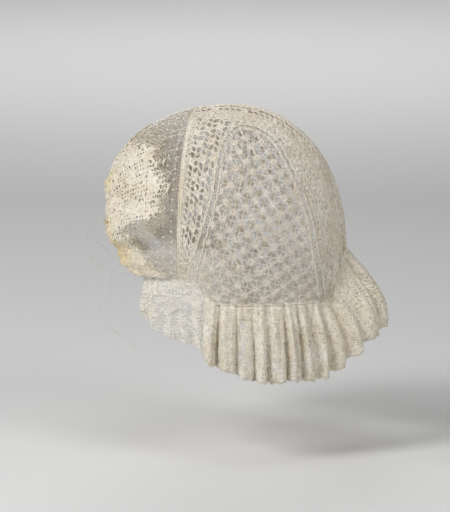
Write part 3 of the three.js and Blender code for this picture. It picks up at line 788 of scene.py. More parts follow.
def lace_holes(rows, columns, large, rng):
    """The width of each cell's hole, as a share of the cell: fine eyelets in turn with smaller ones, or large
    holes that are worked over here and there."""
    row, column = np.meshgrid(np.arange(rows), np.arange(columns), indexing="ij")
    fine = np.where((row + column) % 2 == 0, 0.74, 0.52)
    open_work = np.where((row + 2 * column) % 5 == 0, 0.25, 0.86)
    return np.where(large, open_work, fine) * rng.uniform(0.8, 1.08, (rows, columns))


def half_steps(places):
    """The same places with another half way between each two."""
    return np.interp(np.arange(2 * len(places) - 1) / 2, np.arange(len(places)), places)


def staggered(places, columns):
    """Places for a grid's corners, moved a quarter of a row up and down on alternate inner columns."""
    move = np.where(np.arange(columns) % 2 == 0, 0.25, -0.25) * (np.arange(columns) > 0)
    rows = np.arange(len(places))[:, None] + move
    rows[[0, -1]] = [[0], [len(places) - 1]]
    return np.interp(rows, np.arange(len(places)), places)


def uneven_lace(corners, at_ends, rng):
    """A lace's cell corners with the small unevenness of hand work, and the directions off the cloth."""
    corners = onto_form(corners + rng.normal(0, 0.22 * MM, corners.shape))
    corners[[0, -1]] = at_ends(corners[[0, -1]])
    outward = normals_at(corners)
    return corners + outward * (rng.normal(-0.45, 0.12, corners.shape[:2]) * MM)[..., None], outward


FINE_COLUMNS = np.array([1.4, 2.2, 2.2]) * MM
LARGE_COLUMN = 5.2 * MM
BACK_STRETCH = 0.35
STRETCH_RUN = 0.12
ZIGZAG = 0.5 * MM
EYELET_THREAD = 0.44 * MM
FINE_THREAD = 0.4 * EYELET_THREAD
FIRM_EDGE = 0.6 * MM


def add_eyelets(cloths, threads, corners, outward, hole, keep, large):
    """Adds one stretch of pierced cloth, and the threads that are laid along its cells."""
    cloths.append(pierced_cloth(corners, outward, hole, keep, LACE_WALL))
    radius = EYELET_THREAD if large else FINE_THREAD
    threads.append(cell_threads(corners, outward, keep, radius, 0.8 * radius))


def firm_edge(line):
    """The firm thread in an edge."""
    edge_normals = normals_at(line)
    return edge_cord(line + edge_normals * LACE_DEPTH, FIRM_EDGE, edge_normals)


eyelet_linen = washed_linen("eyelet_lace_linen", "#fef7ea", "#f4e9d7")
for side, side_name in SIDES:
    rng = np.random.default_rng(37 + side)
    large_rows = even_places(lambda place, side=side: border_outer(side, place), CELL)
    cloths, threads = [], []

    def on_neck(ends, side=side):
        return from_side(side, ends[..., 1], neck_height(ends[..., 0], ends[..., 1]))

    for large, v in ((False, half_steps(large_rows)), (True, large_rows)):
        near = beside_ladder(side, v, half_ladder(v) + SEAM_GAP)
        outer = border_outer(side, v)
        width = np.linalg.norm(near - outer, axis=1)
        first, columns = 0, FINE_COLUMNS
        if large:
            first = FINE_COLUMNS.sum()
            columns = np.full(math.ceil((width.max() - first) / LARGE_COLUMN), LARGE_COLUMN)
        stretch = 1 + large * BACK_STRETCH * np.clip((v - BORDER_CORNER) / STRETCH_RUN, 0, 1)
        starts, keep = trimmed_cells(columns, np.maximum(width - first, 0) / stretch)
        starts = starts * stretch[:, None]
        grid_v = staggered(v, len(columns) + 1) if large else np.broadcast_to(v[:, None], starts.shape)
        near = beside_ladder(side, grid_v, half_ladder(grid_v) + SEAM_GAP)
        outer = border_outer(side, grid_v)
        width = np.linalg.norm(near - outer, axis=-1)
        swing = ZIGZAG * np.where(np.arange(len(v)) % 2 == 0, 1, -1)[:, None] * (starts > 0) * large
        across = np.clip((first + starts + swing) / width, 0, 1)
        corners = outer + (near - outer) * across[..., None]
        corners, outward = uneven_lace(corners, on_neck, rng)
        hole = lace_holes(*keep.shape, large, rng)
        if not large:
            hole[:, 0] = 0
        add_eyelets(cloths, threads, corners, outward, hole, keep, large)
    v = half_steps(large_rows)
    for edge in (border_outer(side, v), beside_ladder(side, v, half_ladder(v) + SEAM_GAP)):
        threads.append(firm_edge(edge))
    border = mesh_piece(f"eyelet_border_{side_name}", *joined(cloths), eyelet_linen)
    gimp = mesh_piece(f"eyelet_border_threads_{side_name}", *joined(threads), eyelet_linen)
    for piece in (border, gimp):
        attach(piece, "root")
        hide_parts(f"side_border_{side_name}")


# Centre strip of eyelet lace, from the front seam over the top to the nape. Rows of large holes run on each
# side of its denser middle, and both edges are firm where they are whipped to the side borders.
rng = np.random.default_rng(53)
STRIP_MIDDLE = 2.6 * MM
STITCH_REACH = 1.1 * MM
STRIP_STITCH = 0.26 * MM
half_strip = STRIP_HALF_WIDTH - SEAM_GAP / 2
fine_edge = np.cumsum([-half_strip, *FINE_COLUMNS])
STRIP_PARTS = [
    (False, fine_edge),
    (True, np.linspace(fine_edge[-1], -STRIP_MIDDLE, 3)),
    (False, np.linspace(-STRIP_MIDDLE, STRIP_MIDDLE, 4)),
    (True, np.linspace(STRIP_MIDDLE, -fine_edge[-1], 3)),
    (False, -fine_edge[::-1]),
]
large_rows = even_places(lambda place: strip_line(np.full_like(place, STRIP_HALF_WIDTH / 2), place), CELL)
cloths, threads = [], []
for large, strip_x in STRIP_PARTS:
    v = large_rows if large else half_steps(large_rows)
    grid_v = staggered(v, len(strip_x)) if large else np.broadcast_to(v[:, None], (len(v), len(strip_x)))
    corners = strip_line(np.broadcast_to(strip_x, grid_v.shape), grid_v)
    ends = corners[[0, -1]].copy()
    corners, outward = uneven_lace(corners, lambda _, ends=ends: ends, rng)
    hole = lace_holes(len(v) - 1, len(strip_x) - 1, large, rng)
    edge_columns = np.abs(strip_x[:-1] + strip_x[1:]) / 2 > half_strip - 1 * MM
    hole[:, edge_columns] = 0
    add_eyelets(cloths, threads, corners, outward, hole, np.full(hole.shape, True), large)
stitch_places = half_steps(large_rows)
for sign in (-1, 1):
    beside = [strip_line(np.full_like(stitch_places, sign * (STRIP_HALF_WIDTH + step)), stitch_places)
              for step in (STITCH_REACH, -STITCH_REACH)]
    threads.append(whip_stitches(*beside, STRIP_STITCH))
    threads.append(firm_edge(strip_line(np.full_like(large_rows, sign * half_strip), large_rows)))
strip = mesh_piece("eyelet_centre_strip", *joined(cloths), eyelet_linen)
gimp = mesh_piece("eyelet_strip_threads", *joined(threads), eyelet_linen)
for piece in (strip, gimp):
    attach(piece, "root")
    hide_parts("centre_strip")


# Front seam. Two linen cords are twisted and whipped over the edges of the crown and the net,
# and stand up as a fine ridge from cheek to cheek.
def seam_line(turn):
    """The seam's middle line, turn from the left cheek (0) over the top to the right cheek (1)."""
    foot = neck_height(HALF_WIDTH, SEAM_Y) + SEAM_RADIUS
    foot_x = from_side(1, np.array(SEAM_Y), foot)[0]
    angle = math.pi * turn
    rise = foot + (height_at(0, SEAM_Y) - foot) * np.sin(angle)
    return onto_form_keeping(1, stack(foot_x * np.cos(angle), SEAM_Y, rise))


STRAND = 0.62 * MM
STRAND_TURNS = 62
STRAND_WIND = 0.5 * MM
seam_linen = washed_linen("seam_cord_linen", "#fbf6e9", "#efe6cf")
turn = np.linspace(0, 1, 560)
middle = seam_line(turn)
outward = normals_at(middle)
across = unit(np.cross(np.gradient(middle, axis=0), outward))
parts = []
for half_turn in (0, math.pi):
    wind = turn[:, None] * 2 * math.pi * STRAND_TURNS + half_turn
    strand = (middle + outward * (-CROWN_WALL / 2 + STRAND_WIND * np.sin(wind))
              + across * STRAND_WIND * np.cos(wind))
    parts.append(edge_cord(strand, STRAND, outward, 6))
seam = mesh_piece("whipped_seam", *joined(parts), seam_linen)
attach(seam, "root")
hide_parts("front_seam")


# Front band of spotted net. Fine twisted net with small worked spots is sewn to the crown's front seam and
# gathered towards the face, so that narrow folds run across it and stand up as pale ridges.
BAND_DROP = 15.5 * MM
PUFF_HEIGHT = 5 * MM
NET_TUCK = 1.5 * MM
DOUBLED_NET = 32 * MM
NET_MESH = 2.4 * MM
NET_THREAD = 0.28 * MM
DOUBLED_MESH = 1.9 * MM
DOUBLED_THREAD = 0.36 * MM
DOUBLED_LIFT = 0.8 * MM
NET_DEPTH = 0.5 * MM
NET_UNEVEN = 0.1 * MM
NET_CRIMP = 0.35 * MM
CRIMP_WAVES = 90
CRIMP_START = 30 * MM
SPOT_STEP = 9 * MM
SPOT_RADII = np.array([[0.5, 1.05, 0.5]]) * MM
SPOT_LIFT = 0.6 * MM
FOLD_THREAD = 0.32 * MM

# The face edge, by the turn from a cheek to the forehead: how far forward it lies, and how far back the lace
# reaches from it, each as a share of the form's front.
FACE_EDGE = np.array([
    (0, 0.53, 0.26),
    (0.02, 0.61, 0.26),
    (0.05, 0.69, 0.26),
    (0.1, 0.76, 0.25),
    (0.17, 0.79, 0.4),
    (0.25, 0.835, 0.52),
    (0.4, 0.87, 0.55),
    (0.7, 0.895, 0.45),
    (0.88, 0.895, 0.33),
    (1, 0.895, 0.3),
])

# The net's soft folds: their turn from a cheek to the forehead, their height and their width.
BAND_FOLDS = np.array([
    (0.045, 0.5, 0.035),
    (0.115, -1, 0.03),
    (0.21, 0.9, 0.08),
    (0.4, -0.3, 0.06),
    (0.56, 0.4, 0.06),
    (0.78, -0.24, 0.05),
    (0.92, 0.3, 0.05),
])


def nearer_end(turn):
    """How far a place is from the nearer end of a line that runs from 0 to 2."""
    return np.minimum(turn, 2 - turn)


def read_off(table, column, at):
    """A smooth curve through one column of a table, at places given as in its first column."""
    return smooth_through(table[:, column], table[:, 0], at)


def front_point(y, turn):
    """The form's front at one depth, turn from the left cheek (0) by the forehead (1) to the right (2)."""
    scale = (1 - share(y - EARS[1], depth_reach(y))) ** (1 / ROUNDNESS)
    sink = share(BAND_DROP, scale * SKIRT_TAPER)
    lowest = -np.arctan((sink / (1 - sink)) ** (1 / ROUNDNESS))
    angle = lowest + (math.pi / 2 - lowest) * nearer_end(turn)
    across, up = np.cos(angle), np.sin(angle)
    size = scale * (np.abs(across) ** ROUNDNESS + np.abs(up) ** ROUNDNESS) ** (-1 / ROUNDNESS)
    return stack(np.where(turn < 1, 1, -1) * HALF_WIDTH * across * size, y,
                 EARS[2] + up * size * np.where(up > 0, EAR_DROP, SKIRT_TAPER))


def face_edge(turn):
    return EARS[1] - FRONT_DEPTH * read_off(FACE_EDGE, 1, nearer_end(turn))


def band_rise(y, turn):
    """How far the net stands off the form in its soft folds, which are fullest half way to the face."""
    seam = SEAM_Y - SEAM_CLEAR
    forward = np.clip((seam - y) / (seam - face_edge(turn)), 0, 1)
    half = nearer_end(turn)
    rise = sum(height * np.exp(-((half - place) / width) ** 2) for place, height, width in BAND_FOLDS)
    return PUFF_HEIGHT * rise * np.sin(forward * math.pi * 0.62)


def hexagon_net(place, width, height, pitch, radius, rng):
    """Net threads over a sheet of a width and height. place gives, for distances along and down the sheet,
    the points, the directions off the cloth and which of them are on the piece."""
    side = pitch / math.sqrt(3)
    column, row = np.meshgrid(np.arange(int(width / pitch * 2) + 1), np.arange(int(height / side / 1.5) + 1))
    raised = np.where((column + row) % 2 == 0, 1, -1)
    along = np.minimum(column * pitch / 2, width)
    down = np.clip((row * 1.5 + raised / 4) * side, 0, height)
    points, outward, shown = place(along, down)
    points = points + rng.normal(0, NET_UNEVEN, points.shape)
    lines, normals = [], []
    ways = ((np.s_[:, :-1], np.s_[:, 1:], True), (np.s_[:-1], np.s_[1:], raised[:-1] > 0))
    for start, stop, linked in ways:
        there = shown[start] & shown[stop] & linked
        lines.append(np.stack([points[start][there], points[stop][there]], axis=1))
        normals.append(np.stack([outward[start][there], outward[stop][there]], axis=1))
    return tubes(np.concatenate(lines), radius, 3, np.concatenate(normals))


turn_table = np.linspace(0, 2, 1600)
turn_lengths = lengths_along(front_point(np.full_like(turn_table, SEAM_Y - SEAM_CLEAR), turn_table))
depth_table = np.linspace(SEAM_Y - SEAM_CLEAR, face_edge(np.array(1.0)), 400)
depth_lengths = lengths_along(front_point(depth_table, np.full_like(depth_table, 0.999)))


def on_band(along, forward):
    """Places on the net by distances along the seam and towards the face."""
    turn = np.interp(along, turn_lengths, turn_table)
    y = np.interp(forward, depth_lengths, depth_table)
    base = front_point(y, turn)
    crimp = NET_CRIMP * np.sin(turn * math.pi * CRIMP_WAVES) * np.clip(forward / CRIMP_START, 0, 1)
    shown = y >= face_edge(turn) + NET_TUCK
    return proud_of(base, band_rise(y, turn) - NET_DEPTH + crimp), normals_at(base), shown


def doubled_net(along, forward):
    """Places where the net is turned in and lies double, low on each cheek."""
    points, outward, shown = on_band(along, forward)
    reach = DOUBLED_NET * (1 + 0.2 * np.sin(forward * 190))
    shown = shown & (np.minimum(along, turn_lengths[-1] - along) < reach)
    return points + outward * DOUBLED_LIFT, outward, shown


net_thread = washed_linen("spotted_net_thread", "#f8f1e6", "#e9e0d2", "#cabfb2")
rng = np.random.default_rng(61)
parts = [hexagon_net(on_band, turn_lengths[-1], depth_lengths[-1], NET_MESH, NET_THREAD, rng),
         hexagon_net(doubled_net, turn_lengths[-1], depth_lengths[-1], DOUBLED_MESH, DOUBLED_THREAD, rng)]
across, forward = np.meshgrid(np.arange(SPOT_STEP / 2, turn_lengths[-1], SPOT_STEP),
                              np.arange(SPOT_STEP / 2, depth_lengths[-1], SPOT_STEP * 0.8))
across = across + (np.arange(len(across)) % 2)[:, None] * SPOT_STEP / 2
spots, spot_normals, shown = on_band(across[..., None] + np.array([-0.8, 0, 0.8]) * MM,
                                     forward[..., None] + np.array([-0.3, 0, 0.3]) * MM)
shown = shown.all(axis=-1)
spots = tubes((spots + spot_normals * SPOT_LIFT)[shown], SPOT_RADII, 6, spot_normals[shown])
spot_linen = washed_linen("net_spot_linen", "#fffdf6", "#fbf6ea", flecked=0)
net_spots = mesh_piece("worked_net_spots", *spots, spot_linen)
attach(net_spots, "root")
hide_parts("front_band")

# Pairs of threads run along the net's folds, here by their turn. Low on each cheek they fan out from one
# place at the seam.
FOLD_PLACES = [0.37, 0.52, 0.57, 0.66, 0.7, 0.83, 0.87, 0.98, 1.1, 1.15, 1.27, 1.33, 1.49, 1.64]
CHEEK_FOLDS = [0.012, 0.03, 0.05, 0.07, 0.095, 0.12, 0.15, 0.185]
FAN_PLACE = 0.01
folds = [(place, place) for place in FOLD_PLACES]
folds += [(FAN_PLACE, place) for place in CHEEK_FOLDS] + [(2 - FAN_PLACE, 2 - place) for place in CHEEK_FOLDS]
for at_seam, at_face in folds:
    reach = np.linspace(0, 1, 20)
    turn = at_seam + (at_face - at_seam) * reach ** 0.8 + rng.uniform(-0.02, 0.02) * np.sin(reach * 3)
    turn = np.clip(turn, 0.004, 1.996)
    edge = face_edge(turn) + NET_TUCK
    y = SEAM_Y - SEAM_CLEAR + (edge - SEAM_Y + SEAM_CLEAR) * reach
    for apart in (-0.003, 0.003):
        wander = 0.004 * np.sin(reach * rng.uniform(4, 9) + rng.uniform(0, 6))
        base = front_point(y, np.clip(turn + apart * (0.4 + reach) + wander, 0, 2))
        fold = proud_of(base, band_rise(y, turn) + rng.uniform(-0.1, 0.2) * MM)
        parts.append(edge_cord(fold, FOLD_THREAD, normals_at(base), 4))
net = mesh_piece("spotted_net_band", *joined(parts), net_thread)
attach(net, "root")
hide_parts("front_band")


# Face lace. A cream bobbin lace is gathered along the face edge and lies back over the net, with a scalloped
# edge of small picots. It has yellowed low at the front.
FACE_LACE_WALL = 1.2 * MM
LACE_LIFT = 0.6 * MM
LACE_WAVE = 1.0 * MM
LACE_WAVES = 17
FACE_SET_BACK = 3.5 * MM
FACE_CELL = 2.3 * MM
FACE_FLOWER = 7
FACE_HOLE = 0.6
LACE_CLOTH = 0.45 * MM
GROUND_MESH = 2.2 * MM
GROUND_THREAD = 0.4 * MM
GROUND_DEPTH = 64 * MM
LACE_ROWS = 26
FLOWERED = np.s_[:15]
SCALLOP = 1.1 * MM
RUCK = 0.7 * MM
CREASE = 2.2 * MM
CREASE_PLACE = 0.245
CREASE_WIDTH = 0.022

# How far back the lace's dense part goes, by the turn from a cheek to the forehead.
DENSE_PART = np.array([
    (0, 0.95),
    (0.1, 0.9),
    (0.15, 0.42),
    (0.21, 0.4),
    (0.26, 0.86),
    (0.45, 0.9),
    (0.62, 0.8),
    (0.76, 0.55),
    (1, 0.5),
])


def grid_normals(corners, outside):
    """Directions off a cloth that is given as a grid, on the side that most of outside points to."""
    across = np.cross(np.gradient(corners, axis=0), np.gradient(corners, axis=1))
    return unit(across) * np.sign((across * outside).sum())


def floral_holes(rows, columns, flower, hole, rng):
    """An uneven pierced ground with closed flowers, one to each block of cells of the flower's size."""
    row, column = np.meshgrid(np.arange(rows), np.arange(columns), indexing="ij")
    block = row // flower
    across = (column + block * (flower // 2)) % flower - flower / 2 + 0.5
    down = row % flower - flower / 2 + 0.5
    distance = np.hypot(across, down)
    petals = flower * (0.31 + 0.1 * np.cos(5 * np.arctan2(down, across) + block))
    size = hole * rng.choice([0.45, 0.7, 0.9, 1.15], row.shape, p=[0.25, 0.3, 0.3, 0.15])
    ground = np.where(rng.random(row.shape) < 0.14, 0, size)
    closed = np.where(rng.random(row.shape) < 0.2, 0.2, 0)
    return np.where((distance < petals) & (distance > 0.9), closed, ground)


def flower_outlines(corners, outward, flower, radius, lift):
    """A raised thread round each closed flower of floral_holes, laid over a cloth given as a grid."""
    rows, columns = corners.shape[0] - 1, corners.shape[1] - 1
    angle = np.linspace(0, 2 * math.pi, 26)
    parts = []
    for block in range(round(rows / flower)):
        petals = flower * (0.33 + 0.1 * np.cos(5 * angle + block))
        for first in range(-block * (flower // 2) % flower - flower, columns, flower):
            row = np.clip(block * flower + flower / 2 + petals * np.sin(angle), 0, rows - 0.01)
            column = first + flower / 2 + petals * np.cos(angle)
            if column.min() < 0 or column.max() >= columns:
                continue
            i, j = row.astype(int), column.astype(int)
            down, right = (row - i)[:, None], (column - j)[:, None]
            loop = ((corners[i, j] * (1 - right) + corners[i, j + 1] * right) * (1 - down)
                    + (corners[i + 1, j] * (1 - right) + corners[i + 1, j + 1] * right) * down)
            parts.append(edge_cord(loop + outward[i, j] * lift, radius, outward[i, j], 4))
    return parts


def picots(edge, outward, size, rng):
    """Small thread loops all along an edge."""
    parts = []
    along = unit(np.gradient(edge, axis=0))
    off = np.cross(along, outward)
    angle = np.linspace(0, math.pi, 5)
    for offset in (0, 1):
        base = edge[offset::2]
        loop = (base[:, None] - along[offset::2, None] * np.cos(angle)[:, None] * size
                + off[offset::2, None] * np.sin(angle)[:, None] * size * 1.2)
        loop = loop + rng.normal(0, 0.1 * MM, loop.shape)
        parts.append(tubes(loop, 0.22 * MM, 3, np.broadcast_to(outward[offset::2, None], loop.shape)))
    return joined(parts)


def lace_reach(turn):
    reach = FRONT_DEPTH * read_off(FACE_EDGE, 2, nearer_end(turn)) - FACE_SET_BACK
    return reach + 1.8 * MM * np.sin(turn * 33) + 1.2 * MM * np.sin(turn * 87)


def lace_point(u, turn):
    """The lace's outer face, u from the face edge (0) back over the net (1), and the form's normals there. It
    bridges the net's hollows, ripples along the face and has one stiff fold low on each cheek."""
    half = nearer_end(turn)
    scallop = (1 - u) ** 3 * SCALLOP * np.abs(np.sin(turn * 90))
    y = face_edge(turn) + FACE_SET_BACK * np.clip(half * 8, 0, 1) + u * lace_reach(turn) - scallop
    base = front_point(y, turn)
    rise = band_rise(y, turn)
    v = np.where(turn < 1, 0.5 * half ** (2 / 3), 1 - 0.5 * half ** (2 / 3))
    ruck = (1.1 - u) ** 0.6 * RUCK * np.sin(turn * 130 + 3 * np.sin(turn * 19))
    fold = CREASE * np.exp(-((half - CREASE_PLACE) / CREASE_WIDTH) ** 2) * np.clip(u * 2.5, 0, 1)
    wave = (1 - u) * LACE_WAVE * (1 + np.sin(LACE_WAVES * math.pi * v))
    lift = np.where(rise < 0, 0.35 * rise, rise) + LACE_LIFT + FACE_LACE_WALL + wave + ruck + fold
    return proud_of(base, lift), normals_at(base)


def dense_share(turn):
    """How far back the lace's dense part goes, as a share of the whole."""
    return read_off(DENSE_PART, 1, nearer_end(turn)) + 0.04 * np.sin(turn * 55)


def on_lace_ground(along, back):
    """Places on the lace's open ground, by distances along the face edge and back from it."""
    turn = np.interp(along, face_lengths, face_table)
    u = back / lace_reach(turn)
    points, outward = lace_point(np.minimum(u, 1), turn)
    return points, outward, (u > dense_share(turn) - 0.1) & (u < 0.95 + 0.05 * np.sin(turn * 61))


rng = np.random.default_rng(71)
face_table = np.linspace(0, 2, 1600)
face_lengths = lengths_along(front_point(face_edge(face_table), face_table))
face_turns = np.interp(np.arange(0, face_lengths[-1], FACE_CELL), face_lengths, face_table)
u = np.linspace(0, 1, LACE_ROWS)[:, None]
turn = staggered(face_turns, LACE_ROWS).T
corners, outside = lace_point(u, turn)
corners = corners + rng.normal(0, 0.3 * MM, corners.shape)
outward = grid_normals(corners, outside)
hole = floral_holes(corners.shape[0] - 1, corners.shape[1] - 1, FACE_FLOWER, FACE_HOLE, rng)
hole[0] = 0
room = dense_share(turn[:-1, :-1]) + rng.normal(0, 0.04, hole.shape) - u[:-1]
hole = np.where((room < 0.16) & (hole > 0), 0.85, hole)
padded = np.pad(room > 0, 1).astype(int)
neighbours = padded[:-2, 1:-1] + padded[2:, 1:-1] + padded[1:-1, :-2] + padded[1:-1, 2:]
keep = (room > 0) & (neighbours >= 2)
ground = hexagon_net(on_lace_ground, face_lengths[-1], GROUND_DEPTH, GROUND_MESH, GROUND_THREAD, rng)
parts = [pierced_cloth(corners, outward, hole, keep, LACE_CLOTH), ground,
         picots(corners[0], -outward[0], 0.8 * MM, rng),
         edge_cord(corners[0], 0.4 * MM, outward[0], 5),
         *flower_outlines(corners[FLOWERED], outward[FLOWERED], FACE_FLOWER, 0.3 * MM, 0.1 * MM)]
face_linen = washed_linen("face_lace_linen", "#fdf6e6", "#f3e8d0", stains=[
    ((52 * MM, -85 * MM, -131 * MM), 26 * MM, "#d8bb74"),
    ((46 * MM, -95 * MM, -108 * MM), 20 * MM, "#ecd9a0"),
    ((30 * MM, -104 * MM, -62 * MM), 18 * MM, "#efdfae"),
])
face_lace = mesh_piece("gathered_face_lace", *joined(parts), face_linen)
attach(face_lace, "root")
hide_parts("face_lace")


# Cheek laces. The same kind of lace hangs flat over each cheek, between the net and the ruffle, with small
# round eyelets all over and a scalloped lower edge.
CHEEK_END = 7 * MM
CHEEK_SLACK = 2.2 * MM
CHEEK_CELL = 2.8 * MM
CHEEK_PLACES = 22
CHEEK_CELLS_DOWN = 20
CHEEK_HOLE = 0.78
RUFFLE_DEPTH = 63 * MM

# The flap's lower edge, by the place along it: how far forward it lies, as a share of the form's front, and
# how far down, as a share of the ruffle's depth.
CHEEK_HEM = np.array([
    (0, 0.57, 0.13),
    (0.2, 0.47, 0.34),
    (0.4, 0.37, 0.48),
    (0.65, 0.22, 0.57),
    (0.85, 0.1, 0.63),
    (1, 0.03, 0.72),
])
# The cheek lace's darker fleck colour is partly painted shade, standing in for dark eyelets.
cheek_linen = washed_linen("cheek_lace_linen", "#fffcf4", "#fcf6e8", "#b5a78f", flecked=0.25)
for side, side_name in SIDES:
    rng = np.random.default_rng(83 + side)
    u = np.linspace(0, 1, CHEEK_PLACES)
    top_y = EARS[1] - FRONT_DEPTH * FACE_EDGE[0, 1]
    top_y = top_y + (EARS[1] - CHEEK_END - 2 * SEAM_GAP - top_y) * u
    top_z = np.minimum(neck_height(HALF_WIDTH, top_y), EARS[2] - BAND_DROP) - SEAM_GAP
    hem_y = EARS[1] - FRONT_DEPTH * read_off(CHEEK_HEM, 1, u)
    hem_z = EARS[2] - NECK_DROP - RUFFLE_DEPTH * read_off(CHEEK_HEM, 2, u)
    length = np.hypot(hem_y - top_y, hem_z - top_z)
    starts, keep = trimmed_cells(np.full(CHEEK_CELLS_DOWN, CHEEK_CELL), length)
    v = starts / length[:, None]
    y = top_y[:, None] + (hem_y - top_y)[:, None] * v
    z = top_z[:, None] + (hem_z - top_z)[:, None] * v
    slack = CHEEK_SLACK * np.sin(v * math.pi * 0.7) * (0.4 + np.sin(u * 2 * math.pi * 1.2))[:, None]
    slack = slack + 1.6 * MM * v * np.sin(u * 31)[:, None] + rng.normal(0, 0.15 * MM, v.shape)
    base = from_side(side, y, z)
    corners = proud_of(base, slack) + rng.normal(0, 0.2 * MM, (*v.shape, 3))
    outward = grid_normals(corners, normals_at(base))
    hole = floral_holes(*keep.shape, FACE_FLOWER, CHEEK_HOLE, rng)
    hem = corners[:, -1]
    hem_normals = normals_at(base[:, -1])
    laid = [cell_threads(corners, normals_at(base), keep, 0.22 * MM, 0.18 * MM),
            *flower_outlines(corners[:, FLOWERED], outward[:, FLOWERED], FACE_FLOWER, 0.5 * MM, 0.25 * MM),
            whip_stitches(from_side(side, top_y, top_z - 0.8 * MM), from_side(side, top_y, top_z + 1.8 * MM)),
            picots(hem, hem_normals * side, 0.9 * MM, rng),
            edge_cord(hem, 0.5 * MM, hem_normals, 5)]
    cloth = pierced_cloth(corners, outward, hole, keep, LACE_CLOTH)
    cheek = mesh_piece(f"cheek_lace_flap_{side_name}", *cloth, cheek_linen)
    gimp = mesh_piece(f"cheek_lace_threads_{side_name}", *joined(laid), cheek_linen)
    for piece in (cheek, gimp):
        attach(piece, "root")
        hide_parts(f"cheek_lace_{side_name}")


# Neck lining. A strip of fine white net is run in behind the crown's lower edge and strengthens it.
LINING_HEIGHT = 26 * MM
LINING_MESH = 1.75 * MM
LINING_THREAD = 0.33 * MM
LINING_DEPTH = 0.95 * MM
LINING_HEM = 0.5 * MM


def neck_line(along):
    """The crown's lower edge, from the ruffle's left end (0) by the nape (1) to its right end (2)."""
    start = math.asin(CHEEK_END / FRONT_DEPTH)
    angle = -start + (math.pi / 2 + start) * nearer_end(along)
    aim = stack(np.where(along < 1, 1, -1) * HALF_WIDTH * np.cos(angle),
                EARS[1] + np.where(angle > 0, BACK_DEPTH, FRONT_DEPTH) * np.sin(angle), EARS[2])
    at = onto_form(aim)
    z = neck_height(at[..., 0], at[..., 1])
    shrink = (1 - share(z - EARS[2], height_reach(z))) ** (1 / ROUNDNESS)
    return stack(at[..., 0] * shrink, EARS[1] + (at[..., 1] - EARS[1]) * shrink, z)


neck_table = np.linspace(0, 2, 1600)
neck_lengths = lengths_along(neck_line(neck_table) * [1, 1, 0])


def on_lining(along, up):
    """Places on the lining, by distances along the crown's lower edge and up from it."""
    edge = neck_line(np.interp(along, neck_lengths, neck_table))
    at = onto_form(edge + stack(0, 0, SEAM_GAP + up))
    return proud_of(at, -CROWN_WALL - LINING_DEPTH), normals_at(at), np.full(along.shape, True)


rng = np.random.default_rng(97)
parts = [hexagon_net(on_lining, neck_lengths[-1], LINING_HEIGHT, LINING_MESH, LINING_THREAD, rng)]
for height in (0, LINING_HEIGHT):
    along = np.linspace(0, neck_lengths[-1], 300)
    hem, hem_normals, _ = on_lining(along, np.full_like(along, height))
    parts.append(edge_cord(hem, LINING_HEM, hem_normals, 5))
lining_thread = washed_linen("lining_net_thread", "#fffefa", "#f8f6ef", flecked=0.15)
lining = mesh_piece("neck_lining_net", *joined(parts), lining_thread)
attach(lining, "root")
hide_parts("neck_lining")


# Neck ruffle. A deep bobbin lace is gathered to the crown's lower edge and falls in uneven pleats to a
# scalloped hem, longest below the ears and flaring out over the nape.
RUFFLE_FLARE = 13 * MM
NAPE_FLARE = 34 * MM
PLEAT_DEPTH = 5.2 * MM
PLEAT_LEAN = 0.01
PLEAT_SKEW = 0.55
RUFFLE_GAP = 0.9 * MM
RUFFLE_CELL = 2.8 * MM
RUFFLE_ROWS = 24
RUFFLE_FLOWER = 9
RUFFLE_HOLE = 0.6
RUFFLE_CLOTH = 0.5 * MM
HEM_SCALLOP = 0.022
WORN_PLACE = 0.19
WORN_WIDTH = 0.016
WORN_HOLE = 0.94

# The pleats' crests, by their place from an end to the nape: how deep each is, as a share of PLEAT_DEPTH, and
# how far the ruffle hangs down there, as a share of RUFFLE_DEPTH.
PLEATS = np.array([
    (0.03, 0.7, 0.8),
    (0.11, 1.1, 0.86),
    (0.2, 1.3, 0.96),
    (0.28, 0.8, 1.02),
    (0.37, 0.9, 1.04),
    (0.45, 1, 1.02),
    (0.53, 0.9, 1.03),
    (0.62, 1, 1.02),
    (0.7, 1.1, 0.92),
    (0.79, 1, 0.84),
    (0.88, 1.3, 0.92),
    (0.97, 1, 1),
])


def pleat_wave(half):
    """The wave across the pleats, from -1 in a fold to 1 on a crest. One flank is steeper than the other."""
    crests = np.concatenate([[-PLEATS[0, 0]], PLEATS[:, 0], [2 - PLEATS[-1, 0]]])
    k = np.clip(np.searchsorted(crests, half, side="left") - 1, 0, len(crests) - 2)
    turned = 2 * math.pi * (half - crests[k]) / (crests[k + 1] - crests[k])
    return np.cos(turned + PLEAT_SKEW * np.cos(turned) * np.where(k % 3 == 1, -1, 1))


